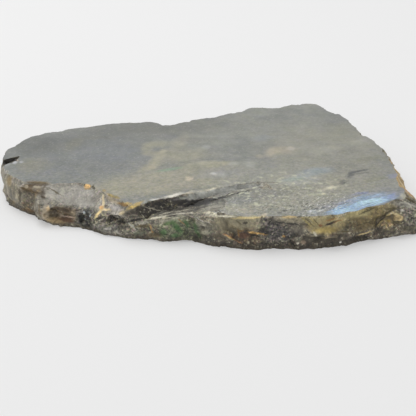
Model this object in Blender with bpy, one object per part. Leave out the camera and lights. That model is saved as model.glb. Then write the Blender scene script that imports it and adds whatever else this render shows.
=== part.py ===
"""A freeform slice of labradorite: one slab of grey feldspar sawn from a larger stone.

Its upper face is ground flat and its underside is left as sawn. Its sides are broken stone: facets,
ledges and hollows. Along the south side a splinter has come away, which leaves a wedge-shaped groove
across the upper face and a lower lip in front of it.

Lengths are in millimetres until the mesh is made. The origin is the centre of the underside, +X is
east, +Y is north and +Z is up.
"""

import math

import bmesh
import bpy
from mathutils import Vector, noise
from mathutils.geometry import delaunay_2d_cdt

MM = 0.001

# Driving dimensions.
THICKNESS = 9.4
RIM_STEP = 1.3  # spacing of the points round the edge
WALL_ROWS = 7  # bands of facets between the two rims
FACE_STEP = 4.2  # spacing of the points inside the ground face
BROKEN_STEP = 1.5  # the same where the upper side is broken
UNDERSIDE_STEP = 8.0
POINT_JITTER = 0.3  # share of the spacing that a point may stray
RIM_CLEARANCE = 0.55  # least distance of a face's inner points from its rim

# The edge seen from above, anticlockwise from the west end.
SOUTH_EDGE = [
    (-60.2, -4.5), (-59.4, -10.6), (-57.4, -15.3), (-53.3, -21.1), (-49.0, -23.8), (-47.2, -26.4),
    (-44.6, -29.2), (-39.2, -30.2), (-32.8, -31.8), (-29.9, -34.9), (-27.9, -36.3), (-24.6, -36.6),
    (-22.4, -37.6), (-20.2, -38.4), (-15.0, -38.6), (-9.7, -39.6), (-4.5, -39.3), (-2.0, -40.4),
    (1.8, -42.5), (8.0, -44.1), (13.0, -44.6), (17.0, -44.2), (28.0, -44.3), (36.0, -43.0),
    (42.0, -40.9), (47.5, -38.4), (53.0, -36.3), (57.5, -35.0),
]
EAST_EDGE = [
    (59.8, -32.6), (58.9, -29.4), (57.3, -26.4), (56.8, -21.5), (56.9, -14.0), (56.6, -6.5),
    (56.0, 0.5), (54.2, 5.2), (52.4, 8.9), (50.7, 12.3), (48.8, 15.7), (47.3, 21.0), (45.9, 26.0),
    (44.2, 31.0), (42.3, 34.2), (40.4, 35.4), (38.7, 38.4), (37.0, 42.4),
]
NORTH_EDGE = [
    (35.1, 44.3), (32.3, 43.7), (25.7, 40.6), (22.4, 39.6), (19.3, 40.5), (15.8, 40.4), (13.5, 38.9),
    (10.8, 35.8), (8.2, 34.8), (4.9, 32.6), (2.6, 30.4), (0.4, 29.9), (-6.9, 26.7), (-9.9, 24.6),
    (-12.3, 23.7), (-14.6, 25.8), (-17.8, 27.1), (-21.0, 27.1), (-30.5, 25.4), (-37.1, 22.4),
    (-47.2, 18.9), (-51.4, 15.5), (-54.8, 13.0), (-57.3, 6.5), (-59.2, 3.1), (-60.1, -1.0),
]

# Where the ground face ends along the south-west side, from west to east. Broken stone slopes down
# from there to the edge.
BEVEL_EDGE = [
    (-60.0, -9.0), (-57.2, -13.8), (-53.2, -18.1), (-51.2, -20.2), (-45.2, -20.3), (-43.1, -21.6),
    (-35.3, -20.9), (-30.9, -23.0), (-29.3, -26.4), (-26.9, -27.9), (-22.7, -33.0), (-20.5, -35.8),
]
BEVEL_SLOPE = 0.5

# The upper side is broken down towards the east tip: from this point the break runs south by west.
EAST_BREAK_START = (55.4, -22.0)
EAST_BREAK_TURN = 0.17  # westing per southing
EAST_SLOPE = 0.5

# The groove's north rim, from its open west end to where it dies out in the ground face.
GROOVE_EDGE = [
    (-21.0, -38.4), (-17.7, -35.8), (-14.6, -33.0), (-9.8, -30.5), (-4.4, -27.8), (2.5, -25.0),
    (11.0, -21.6), (15.4, -19.6),
]
GROOVE_DEPTH = 3.7
GROOVE_FADE = 1.8  # how late the groove grows shallow towards its east end
GROOVE_RUN = 3.1  # north to south, across its sloping north side
GROOVE_FRONT_RUN = 0.45  # the same for its steep south side

# Height of the lip between the groove and the south edge, by x.
LIP_LEVEL = [
    (-21.0, 4.8), (-18.0, 5.7), (-15.0, 6.6), (-11.0, 7.3), (-4.5, 7.4), (-1.5, 7.9), (1.0, 8.8),
    (4.0, 9.1), (9.0, THICKNESS),
]

# A notch in the west end: the rim of its steep north side, and a floor that rises to the south.
NOTCH_EDGE = [(-61.5, -5.2), (-57.5, -2.4), (-54.4, -0.8)]
NOTCH_DEPTH = 2.3
NOTCH_FADE = 1.0
NOTCH_RUN = 0.6
NOTCH_FLOOR_RUN = 5.0

# The east wall's upper part is a broken chamfer, which fades out at both of its ends.
EAST_CHAMFER = 2.6
EAST_CHAMFER_FOOT = 0.68  # share of the wall's height where it starts
EAST_CHAMFER_NORTH = (12.0, 2.0)
EAST_CHAMFER_SOUTH = (-29.0, -23.0)

# How far the south wall's rim stands back from its foot, by x, and the share of its height where it
# starts to lean.
SOUTH_LEAN = [
    (-4.0, 0.2), (0.0, 0.8), (15.0, 1.0), (30.0, 1.8), (37.0, 2.2), (45.0, 3.3), (53.0, 3.4), (60.0, 0.4),
]
SOUTH_LEAN_FOOT = 0.4

# Hollows and lumps of the south wall: x, z, half width, half height, depth. A lump's is negative.
SOUTH_WALL_RELIEF = [
    (-50.2, 6.0, 3.8, 3.0, 1.3),
    (-45.4, 4.2, 1.6, 5.5, -0.9),
    (-40.5, 3.1, 4.4, 2.7, 1.7),
    (-33.4, 3.0, 2.4, 3.2, 1.3),
    (-26.0, 4.8, 5.0, 2.1, 1.9),
    (-9.5, 4.8, 6.5, 3.2, -0.8),
    (-5.6, 0.0, 3.4, 1.7, 0.9),
    (15.6, 9.2, 0.9, 1.5, 1.1),
    (22.0, 6.0, 4.8, 3.2, 0.8),
    (33.0, 5.8, 7.0, 2.6, -0.7),
    (38.0, 1.6, 8.0, 2.2, 0.7),
    (47.2, 4.6, 3.2, 3.6, 1.2),
    (53.5, 4.8, 2.0, 2.6, -0.6),
]
SOUTH_FACING = -0.2  # the outward normal's y, below which the wall counts as the south wall

# Broad swells and hollows of the rest of the wall, strongest half way up.
SWELL = 1.5
SWELL_SPACING = 11.0
SWELL_FACING = (-0.5, 0.1)  # they grow as the outward normal's y goes from one to the other

# Broken stone: facets as (cell size, reach of a facet's tilt), and the ledges that cleavage leaves.
COARSE_FACETS = (8.0, 0.17)
FINE_FACETS = (3.6, 0.17)
LEDGE_HEIGHT = 2.5
LEDGE_DIP = 0.13  # fall of the ledges from west to east
LEDGE_REACH = 0.5
RIM_ROUGHNESS = 0.5  # share of the wall's roughness that reaches the upper rim
RIM_ROUGHNESS_FOOT = 0.6  # share of the wall's height above which it fades to that
TOP_ROUGHNESS = 0.6  # share of it on the broken parts of the upper side
ROUGH_DEPTH = 0.7  # which is whole this far below the ground face

# Flakes lost along the rims: greatest depth, and their spacing.
RIM_CHIP = 0.8
FOOT_CHIP = 0.6
CHIP_SPACING = 3.0
CHIP_BIAS = 0.12  # raises the share of the rim that is chipped
CHIP_WIDTH = 1.2
FOOT_LIFT = 0.6  # a hollow at the wall's foot raises the foot by this share of its depth

# Offsets that keep one pattern of noise clear of another.
FOOT_NOISE = Vector((0.0, 0.0, 11.0))
FINE_NOISE = Vector((40.0, 0.0, 0.0))
SIDEWAYS_NOISE = Vector((50.0, 0.0, 0.0))
ROW_NOISE_LIFT = 2.3

CURVE_STEPS = 12  # points drawn between two points of the edge before they are spaced evenly
MERGE = 0.05  # points of a face nearer than this become one
STONE_COLOUR = (0.135, 0.135, 0.115, 1.0)
STONE_ROUGHNESS = 0.45


def along_table(table, x):
    """The value at x of the line drawn through (x, value) pairs."""
    if x <= table[0][0]:
        return table[0][1]
    for (x0, value0), (x1, value1) in zip(table, table[1:]):
        if x <= x1:
            return value0 + (value1 - value0) * (x - x0) / (x1 - x0)
    return table[-1][1]


def smooth_step(start, end, x):
    share = min(1.0, max(0.0, (x - start) / (end - start)))
    return share * share * (3.0 - 2.0 * share)


def share_above(share, foot):
    """How far share is on its way from foot to 1."""
    return max(0.0, (share - foot) / (1.0 - foot))


# The edge.

def curve_point(before, start, end, after, share):
    """A point of the Catmull-Rom curve that passes through start and end."""
    square, cube = share**2, share**3
    return 0.5 * (
        2.0 * start
        + (end - before) * share
        + (2.0 * before - 5.0 * start + 4.0 * end - after) * square
        + (3.0 * start - before - 3.0 * end + after) * cube
    )


def edge_ring():
    """Points a rim step apart on the smooth closed curve through the edge's own points."""
    corners = [Vector(point) for point in SOUTH_EDGE + EAST_EDGE + NORTH_EDGE]
    count = len(corners)
    fine = []
    for i in range(count):
        near = [corners[(i + k) % count] for k in (-1, 0, 1, 2)]
        fine += [curve_point(*near, step / CURVE_STEPS) for step in range(CURVE_STEPS)]
    reach = [0.0]
    for here, there in zip(fine, fine[1:] + fine[:1]):
        reach.append(reach[-1] + (there - here).length)
    total = round(reach[-1] / RIM_STEP)
    ring, at = [], 0
    for i in range(total):
        wanted = reach[-1] * i / total
        while reach[at + 1] < wanted:
            at += 1
        share = (wanted - reach[at]) / (reach[at + 1] - reach[at])
        ring.append(fine[at].lerp(fine[(at + 1) % len(fine)], share))
    return ring


def outward_normals(ring):
    count = len(ring)
    normals = []
    for i in range(count):
        along = ring[(i + 2) % count] - ring[i - 2]
        normals.append(Vector((along.y, -along.x)).normalized())
    return normals


def inside(point, ring):
    """Whether the point is inside the closed ring."""
    found = False
    for start, end in zip(ring, ring[1:] + ring[:1]):
        if (start.y > point.y) != (end.y > point.y):
            if point.x < start.x + (end.x - start.x) * (point.y - start.y) / (end.y - start.y):
                found = not found
    return found


def well_inside(point, ring):
    """Whether the point is inside the ring and far enough from it to leave no sliver."""
    if not inside(point, ring):
        return False
    for start, end in zip(ring, ring[1:] + ring[:1]):
        line = end - start
        share = min(1.0, max(0.0, (point - start).dot(line) / line.length_squared))
        if (start + line * share - point).length < RIM_CLEARANCE:
            return False
    return True


# The upper side.

def trough_depth(x, y, edge, deepest, fade, north_run, south_run):
    """Depth of a trough south of an edge. It is deepest at its west end and dies out at its east end."""
    west, east = edge[0][0], edge[-1][0]
    across = along_table(edge, x) - y
    if x >= east or across <= 0.0:
        return 0.0
    deepest *= 1.0 - max(0.0, (x - west) / (east - west)) ** fade
    if across < north_run:
        return deepest * across / north_run
    return deepest * max(0.0, 1.0 - (across - north_run) / south_run)


def upper_height(x, y):
    """Height of the upper side: the ground face, and what is broken away from it."""
    height = THICKNESS
    if x < BEVEL_EDGE[-1][0]:
        height -= BEVEL_SLOPE * max(0.0, along_table(BEVEL_EDGE, x) - y)
    break_x, break_y = EAST_BREAK_START
    if y < break_y:
        height -= EAST_SLOPE * max(0.0, x - break_x - EAST_BREAK_TURN * (y - break_y))
    if x > GROOVE_EDGE[0][0] and y < along_table(GROOVE_EDGE, x) - GROOVE_RUN:
        height = min(height, along_table(LIP_LEVEL, x))
    groove = trough_depth(x, y, GROOVE_EDGE, GROOVE_DEPTH, GROOVE_FADE, GROOVE_RUN, GROOVE_FRONT_RUN)
    notch = trough_depth(x, y, NOTCH_EDGE, NOTCH_DEPTH, NOTCH_FADE, NOTCH_RUN, NOTCH_FLOOR_RUN)
    return min(height, THICKNESS - groove, THICKNESS - notch)


def upper_surface(x, y):
    """The upper side with the roughness of its broken parts, which fades out at the ground face."""
    height = upper_height(x, y)
    rough = TOP_ROUGHNESS * smooth_step(0.0, ROUGH_DEPTH, THICKNESS - height)
    return min(THICKNESS, height + rough * roughness(Vector((x, y, height))))


def underside(x, y):
    return 0.0


# Broken stone.

def facets(point, size, tilt_reach):
    """Height of broken stone: each cell is a flat facet with a tilt of its own."""
    scaled = point / size
    seed = noise.voronoi(scaled)[1][0]
    tilt = noise.cell_vector(seed) * 2.0 - Vector((1.0, 1.0, 1.0))
    return (scaled - seed).dot(tilt) * size * tilt_reach


def ledge(point):
    """How far the ledge at this point stands out or back."""
    level = math.floor((point.z + LEDGE_DIP * point.x) / LEDGE_HEIGHT)
    return LEDGE_REACH * (noise.cell(Vector((level, 0.5, 0.5))) - 0.5)


def roughness(point):
    return facets(point, *COARSE_FACETS) + facets(point + FINE_NOISE, *FINE_FACETS) + ledge(point)


def chip(point, depth):
    """How much has flaked off a rim here: nothing along most of it."""
    return depth * max(0.0, noise.noise(point / CHIP_SPACING) + CHIP_BIAS)


def south_wall_inset(x, z):
    inset = 0.0
    for centre_x, centre_z, half_width, half_height, depth in SOUTH_WALL_RELIEF:
        reach = ((x - centre_x) / half_width) ** 2 + ((z - centre_z) / half_height) ** 2
        if reach < 1.0:
            inset += depth * (1.0 - reach) ** 1.5
    return inset


def wall_point(place, normal, share, z):
    """A point of the wall, share of the way up it."""
    inset = EAST_CHAMFER * share_above(share, EAST_CHAMFER_FOOT) * smooth_step(0.6, 0.85, normal.x)
    inset *= smooth_step(*EAST_CHAMFER_NORTH, place.y) * smooth_step(*EAST_CHAMFER_SOUTH, place.y)
    if normal.y < SOUTH_FACING:
        inset += south_wall_inset(place.x, z)
        inset += along_table(SOUTH_LEAN, place.x) * share_above(share, SOUTH_LEAN_FOOT)
    spot = Vector((place.x, place.y, z))
    swell = SWELL * 4.0 * share * (1.0 - share) * smooth_step(*SWELL_FACING, normal.y)
    inset += swell * noise.noise(spot / SWELL_SPACING)
    rough = 1.0 - (1.0 - RIM_ROUGHNESS) * smooth_step(RIM_ROUGHNESS_FOOT, 1.0, share)
    return spot + normal.to_3d() * (rough * roughness(spot) - inset)


def wall_column(place, normal, row):
    """The point that a place on the edge has in one of the wall's rows."""
    side = place.to_3d()
    foot = chip(side + FOOT_NOISE, FOOT_CHIP)
    if normal.y < SOUTH_FACING:
        foot += FOOT_LIFT * max(0.0, south_wall_inset(place.x, 0.0))
    rim = wall_point(place, normal, 1.0, THICKNESS)
    top = upper_height(rim.x, rim.y) - chip(side, RIM_CHIP)
    share = row / WALL_ROWS
    if 0 < row < WALL_ROWS:
        shake = noise.noise(side + Vector((0.0, 0.0, row * ROW_NOISE_LIFT)))
        share += POINT_JITTER * shake / WALL_ROWS
    return wall_point(place, normal, share, foot + (top - foot) * share)


def wall_rings(ring, normals):
    """Rings of points from the lower rim to the upper one, each half a step on from the one below."""
    following = list(zip(ring, normals))[1:] + [(ring[0], normals[0])]
    rings = []
    for row in range(WALL_ROWS + 1):
        on = 0.5 * (row % 2)
        points = []
        for place, normal, (next_place, next_normal) in zip(ring, normals, following):
            turned = normal.lerp(next_normal, on).normalized()
            points.append(wall_column(place.lerp(next_place, on), turned, row))
        rings.append(points)
    return rings


# The two faces.

def scattered(ring, step, wanted):
    """Points about a step apart over the ring's box, where wanted(x, y) holds."""
    west, east = min(p.x for p in ring), max(p.x for p in ring)
    south, north = min(p.y for p in ring), max(p.y for p in ring)
    row_height = step * math.sqrt(3.0) / 2.0
    points = []
    for row in range(int((north - south) / row_height) + 1):
        for column in range(int((east - west) / step) + 1):
            place = Vector((west + (column + 0.5 * (row % 2)) * step, south + row * row_height, 0.0))
            x = place.x + step * POINT_JITTER * noise.noise(place)
            y = place.y + step * POINT_JITTER * noise.noise(place + SIDEWAYS_NOISE)
            if wanted(x, y):
                points.append(Vector((x, y)))
    return points


def inner_ring(ring):
    """Points a chip's width inside the ring."""
    moved = [place - normal * CHIP_WIDTH for place, normal in zip(ring, outward_normals(ring))]
    return [p for p in moved if min((p - q).length for q in ring) > 0.8 * CHIP_WIDTH]


def crease(edge, south):
    """Points along an edge of the breaks, moved a distance to the south."""
    points = []
    for start, end in zip(edge, edge[1:]):
        start, end = Vector(start), Vector(end)
        count = round((end - start).length / RIM_STEP)
        points += [start.lerp(end, i / count) - Vector((0.0, south)) for i in range(count)]
    return points


def upper_creases():
    groove_lines = (0.0, GROOVE_RUN, GROOVE_RUN + GROOVE_FRONT_RUN)
    return (
        [crease(BEVEL_EDGE, 0.0)]
        + [crease(GROOVE_EDGE, south) for south in groove_lines]
        + [crease(NOTCH_EDGE, south) for south in (0.0, NOTCH_RUN)]
    )


def is_broken(x, y):
    return upper_height(x, y) < THICKNESS - MERGE


def is_ground(x, y):
    return not is_broken(x, y)


def upper_points(ring):
    return inner_ring(ring) + scattered(ring, BROKEN_STEP, is_broken) + scattered(ring, FACE_STEP, is_ground)


def underside_points(ring):
    return inner_ring(ring) + scattered(ring, UNDERSIDE_STEP, lambda x, y: True)


def fill(bm, rim, loose, creases, height, facing_up):
    """Fills the rim's vertices with triangles through the loose points and along the creases."""
    ring = [v.co.xy / MM for v in rim]
    edges = [(i, (i + 1) % len(ring)) for i in range(len(ring))]
    points = ring + [point for point in loose if well_inside(point, ring)]
    for line in creases:
        kept = [point for point in line if well_inside(point, ring)]
        for i, (here, there) in enumerate(zip(kept, kept[1:])):
            if (there - here).length < 2.0 * RIM_STEP and well_inside((here + there) / 2.0, ring):
                edges.append((len(points) + i, len(points) + i + 1))
        points += kept
    inside_only = 1
    places, _, triangles, sources, _, _ = delaunay_2d_cdt(points, edges, [], inside_only, MERGE)
    vertices = []
    for place, origins in zip(places, sources):
        on_rim = [i for i in origins if i < len(rim)]
        if on_rim:
            vertices.append(rim[on_rim[0]])
        else:
            vertices.append(bm.verts.new(Vector((place.x, place.y, height(place.x, place.y))) * MM))
    for a, b, c in triangles:
        upwards = (places[b] - places[a]).cross(places[c] - places[a]) > 0.0
        corners = (a, b, c) if upwards == facing_up else (a, c, b)
        bm.faces.new([vertices[i] for i in corners])


def join(bm, lower, upper):
    """Joins two rings with triangles, each quad split along its shorter diagonal."""
    count = len(lower)
    for i in range(count):
        a, b = lower[i], lower[(i + 1) % count]
        c, d = upper[(i + 1) % count], upper[i]
        if (a.co - c.co).length < (b.co - d.co).length:
            triangles = ((a, b, c), (a, c, d))
        else:
            triangles = ((a, b, d), (b, c, d))
        for triangle in triangles:
            bm.faces.new(triangle)


# The stone.

def centre(bm):
    """Moves the stone so that the origin is the centre of the bottom of its box."""
    lows = [min(v.co[axis] for v in bm.verts) for axis in range(3)]
    highs = [max(v.co[axis] for v in bm.verts) for axis in range(3)]
    shift = Vector((-(lows[0] + highs[0]) / 2.0, -(lows[1] + highs[1]) / 2.0, -lows[2]))
    print("moved by, mm:", [round(length / MM, 3) for length in shift])
    for vertex in bm.verts:
        vertex.co += shift


def build_slice():
    ring = edge_ring()
    bm = bmesh.new()
    rows = [[bm.verts.new(point * MM) for point in row] for row in wall_rings(ring, outward_normals(ring))]
    for lower, upper in zip(rows, rows[1:]):
        join(bm, lower, upper)
    upper_ring = [v.co.xy / MM for v in rows[-1]]
    lower_ring = [v.co.xy / MM for v in rows[0]]
    fill(bm, rows[-1], upper_points(upper_ring), upper_creases(), upper_surface, facing_up=True)
    fill(bm, rows[0], underside_points(lower_ring), [], underside, facing_up=False)
    centre(bm)
    mesh = bpy.data.meshes.new("labradorite_slice")
    bm.to_mesh(mesh)
    bm.free()
    stone = bpy.data.objects.new("labradorite_slice", mesh)
    bpy.context.scene.collection.objects.link(stone)
    return stone


def feldspar():
    """Grey labradorite: dark, with the dull gloss of a ground face."""
    material = bpy.data.materials.new("feldspar")
    material.use_nodes = True
    shader = material.node_tree.nodes["Principled BSDF"]
    shader.inputs["Base Color"].default_value = STONE_COLOUR
    shader.inputs["Roughness"].default_value = STONE_ROUGHNESS
    shader.inputs["Metallic"].default_value = 0.0
    return material


for thing in list(bpy.data.objects):
    bpy.data.objects.remove(thing)
build_slice().data.materials.append(feldspar())
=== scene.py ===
import math

import bpy
import numpy as np
from mathutils import Matrix
from mathutils.kdtree import KDTree


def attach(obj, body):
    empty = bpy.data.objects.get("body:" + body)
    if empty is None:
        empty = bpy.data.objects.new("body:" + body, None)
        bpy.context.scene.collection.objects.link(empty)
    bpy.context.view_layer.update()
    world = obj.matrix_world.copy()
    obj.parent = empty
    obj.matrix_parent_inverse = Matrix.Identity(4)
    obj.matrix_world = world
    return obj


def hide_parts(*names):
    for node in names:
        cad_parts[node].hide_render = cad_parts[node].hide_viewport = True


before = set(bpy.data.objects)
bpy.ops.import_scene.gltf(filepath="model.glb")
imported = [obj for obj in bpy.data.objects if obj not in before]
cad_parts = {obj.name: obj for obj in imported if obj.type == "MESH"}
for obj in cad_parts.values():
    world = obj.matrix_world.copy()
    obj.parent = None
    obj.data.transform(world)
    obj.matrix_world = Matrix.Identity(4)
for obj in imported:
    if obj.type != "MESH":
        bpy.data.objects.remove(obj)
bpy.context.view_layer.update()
MM = 0.001


# The slab: one piece of grey labradorite feldspar, sawn from a larger stone and 9.4 mm thick.
# Its upper face is ground flat and rubbed to a satin, its underside is as the saw left it, and its
# sides are broken stone with cleavage blocks, ledges and small flakes lost along the rim.
SLAB_TOP = 9.4 * MM
FLAT = 0.02 * MM  # within this of a plane counts as on it
UPRIGHT = 0.999  # share of a normal that points straight up or down
CHIPPED = 0.35 * MM  # what lies less than this below the upper face is ground away with it
FOOT = 2.5 * MM  # height up to which the stone follows the line of its foot
GROOVE_START, GROOVE_END, GROOVE_SLOPE = (-21.0, -37.6), 16.5, 0.515  # of its north rim, in mm
GROOVE_RIM, GROOVE_WIDTH = 0.4, 4.4

slab = bpy.data.objects.new("sawn_slab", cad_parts["labradorite_slice"].data.copy())
bpy.context.scene.collection.objects.link(slab)
bpy.ops.object.select_all(action="DESELECT")
slab.select_set(True)
bpy.context.view_layer.objects.active = slab
slab.data.materials.clear()

# The coarse facets are divided finely enough to carry grains of a quarter of a millimetre.
bpy.ops.object.mode_set(mode="EDIT")
bpy.ops.mesh.select_all(action="SELECT")
bpy.ops.mesh.remove_doubles(threshold=0.001 * MM)
bpy.ops.mesh.normals_make_consistent(inside=False)
bpy.ops.mesh.subdivide(number_cuts=4)
bpy.ops.object.mode_set(mode="OBJECT")


def on_ground_face(face):
    return face.normal.z > UPRIGHT and face.center.z > SLAB_TOP - FLAT


def on_underside(face):
    return face.normal.z < -UPRIGHT and face.center.z < FLAT


def in_groove(x, y, around=0.0):
    """Whether a place lies in the groove, or within so many mm of it."""
    south = GROOVE_START[1] + GROOVE_SLOPE * (x - GROOVE_START[0]) - y
    return (-GROOVE_RIM - around < south) & (south < GROOVE_WIDTH + around) & (x < GROOVE_END + around)


count = len(slab.data.vertices)
points = np.empty(count * 3)
slab.data.vertices.foreach_get("co", points)
points = points.reshape(-1, 3) / MM

# Where the solid's outline strays from the stone's it is moved as clay is, the most at the place
# named and less towards the reach. Place, reach and move, in mm.
MOVES = (
    ((-60.5, -9.0, 8.0), 7.0, (0.7, 0.0, 0.0)),  # the west end
    ((-58.5, -12.5, 0.0), 5.6, (0.45, 0.05, 0.0)),
    ((-58.8, -10.5, 5.0), 4.5, (-0.4, 0.0, 0.0)),
    ((-58.5, 3.0, 6.0), 6.0, (-0.6, 1.0, 0.0)),
    ((-57.8, -3.0, 9.4), 3.5, (0.0, -0.8, 0.0)),
    ((-46.5, 17.6, 9.0), 4.5, (0.0, -1.2, 0.0)),
    ((55.5, -13.0, 9.0), 4.0, (0.4, 0.5, 0.0)),  # the east rim
    ((57.0, -22.0, 9.0), 4.0, (0.5, 0.8, 0.0)),
    ((-55.0, -17.0, 0.0), 6.0, (0.0, 1.2, 0.0)),  # the foot, from the west end eastward
    ((-50.0, -22.1, 0.0), 5.0, (0.0, 0.6, 0.0)),
    ((-45.6, -28.5, 0.0), 3.5, (0.0, 1.6, 0.0)),
    ((-41.4, -30.0, 0.0), 3.5, (0.0, -1.4, 0.0)),
    ((-29.4, -34.8, 0.0), 3.0, (0.0, 1.0, 0.0)),
    ((-26.4, -35.0, 0.0), 3.0, (0.0, -1.0, 0.0)),
    ((-17.2, -38.9, 0.0), 4.0, (0.0, 0.8, 0.0)),
    ((-13.4, -39.4, 0.0), 3.5, (0.0, -0.8, 0.0)),
    ((-8.0, -39.4, 0.0), 3.0, (0.0, 0.6, 0.0)),
    ((-4.6, -39.2, 0.0), 3.0, (0.0, -0.7, 0.0)),
    ((-2.0, -40.3, 0.0), 3.0, (0.0, 1.0, 0.0)),
    ((22.0, -43.4, 0.0), 4.0, (0.0, -0.6, 0.0)),
    ((28.5, -44.3, 0.0), 4.0, (0.0, 0.8, 0.0)),
    ((36.3, -41.4, 0.0), 3.5, (0.0, -1.0, 0.0)),
    ((42.0, -40.0, 0.0), 4.0, (0.0, 1.2, 0.0)),
    ((51.5, -35.6, 0.0), 6.0, (0.0, -1.2, 0.0)),
    ((-18.0, -38.5, 0.0), 8.0, (0.0, 0.4, 0.0)),
    ((0.0, -26.0, 9.4), 4.5, (0.0, -1.0, 0.0)),  # the groove's north rim
    ((14.0, -42.6, 9.4), 6.0, (0.0, -0.8, 0.0)),  # the south rim, eastward to the flash
    ((21.0, -42.2, 9.4), 6.0, (0.0, -0.8, 0.0)),
    ((28.0, -41.6, 9.4), 6.0, (0.0, -0.7, 0.0)),
    ((34.5, -41.0, 9.4), 5.5, (0.0, -0.8, 0.0)),
    ((42.0, -37.5, 9.4), 5.5, (0.0, -0.9, 0.0)),
    ((47.0, -34.0, 9.4), 5.0, (0.3, -1.4, 0.0)),
    ((52.5, -30.0, 9.4), 3.5, (0.0, 0.9, 0.0)),
    ((57.0, -5.0, 4.0), 6.5, (-1.8, -0.4, 0.0)),  # the strip below the east rim
    ((58.5, -17.0, 4.0), 7.0, (-1.2, 0.0, 0.0)),
    ((57.0, -2.5, 4.5), 6.0, (-1.6, -0.7, 0.0)),
    ((52.5, 5.0, 8.0), 5.0, (0.8, 0.5, 0.0)),
)
for place, reach, move in MOVES:
    away = np.linalg.norm(points - place, axis=1) / reach
    points += np.outer(np.clip(1.0 - away**2, 0.0, 1.0) ** 2, move)

# The line of the foot is drawn out smooth, and the stone just above follows it.
FOOT_ROUNDS = 18
outside = [face for face in slab.data.polygons if not on_ground_face(face) and not on_underside(face)]
broken_points = sorted({i for face in outside for i in face.vertices})
foot = [i for i in broken_points if points[i, 2] * MM < FLAT]
ends = np.empty(len(slab.data.edges) * 2, int)
slab.data.edges.foreach_get("vertices", ends)
ends = ends.reshape(-1, 2)
both_ways = np.concatenate([ends, ends[:, ::-1]])
along = both_ways[np.isin(both_ways, foot).all(axis=1)]
line = points.copy()
for _ in range(FOOT_ROUNDS):
    for axis in (0, 1):
        sums = np.bincount(along[:, 0], line[along[:, 1], axis], count)
        line[foot, axis] = sums[foot] / np.bincount(along[:, 0], minlength=count)[foot]
drift = line - points
nearest = KDTree(len(foot))
for i in foot:
    nearest.insert(points[i], i)
nearest.balance()
for i in broken_points:
    follows = 1.0 - points[i, 2] * MM / FOOT
    if follows > 0.0:
        k = nearest.find(points[i])[1]
        line[i] = points[i] + follows * drift[k]
points = line
slab.data.vertices.foreach_set("co", (points * MM).reshape(-1))
slab.data.update()


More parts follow.
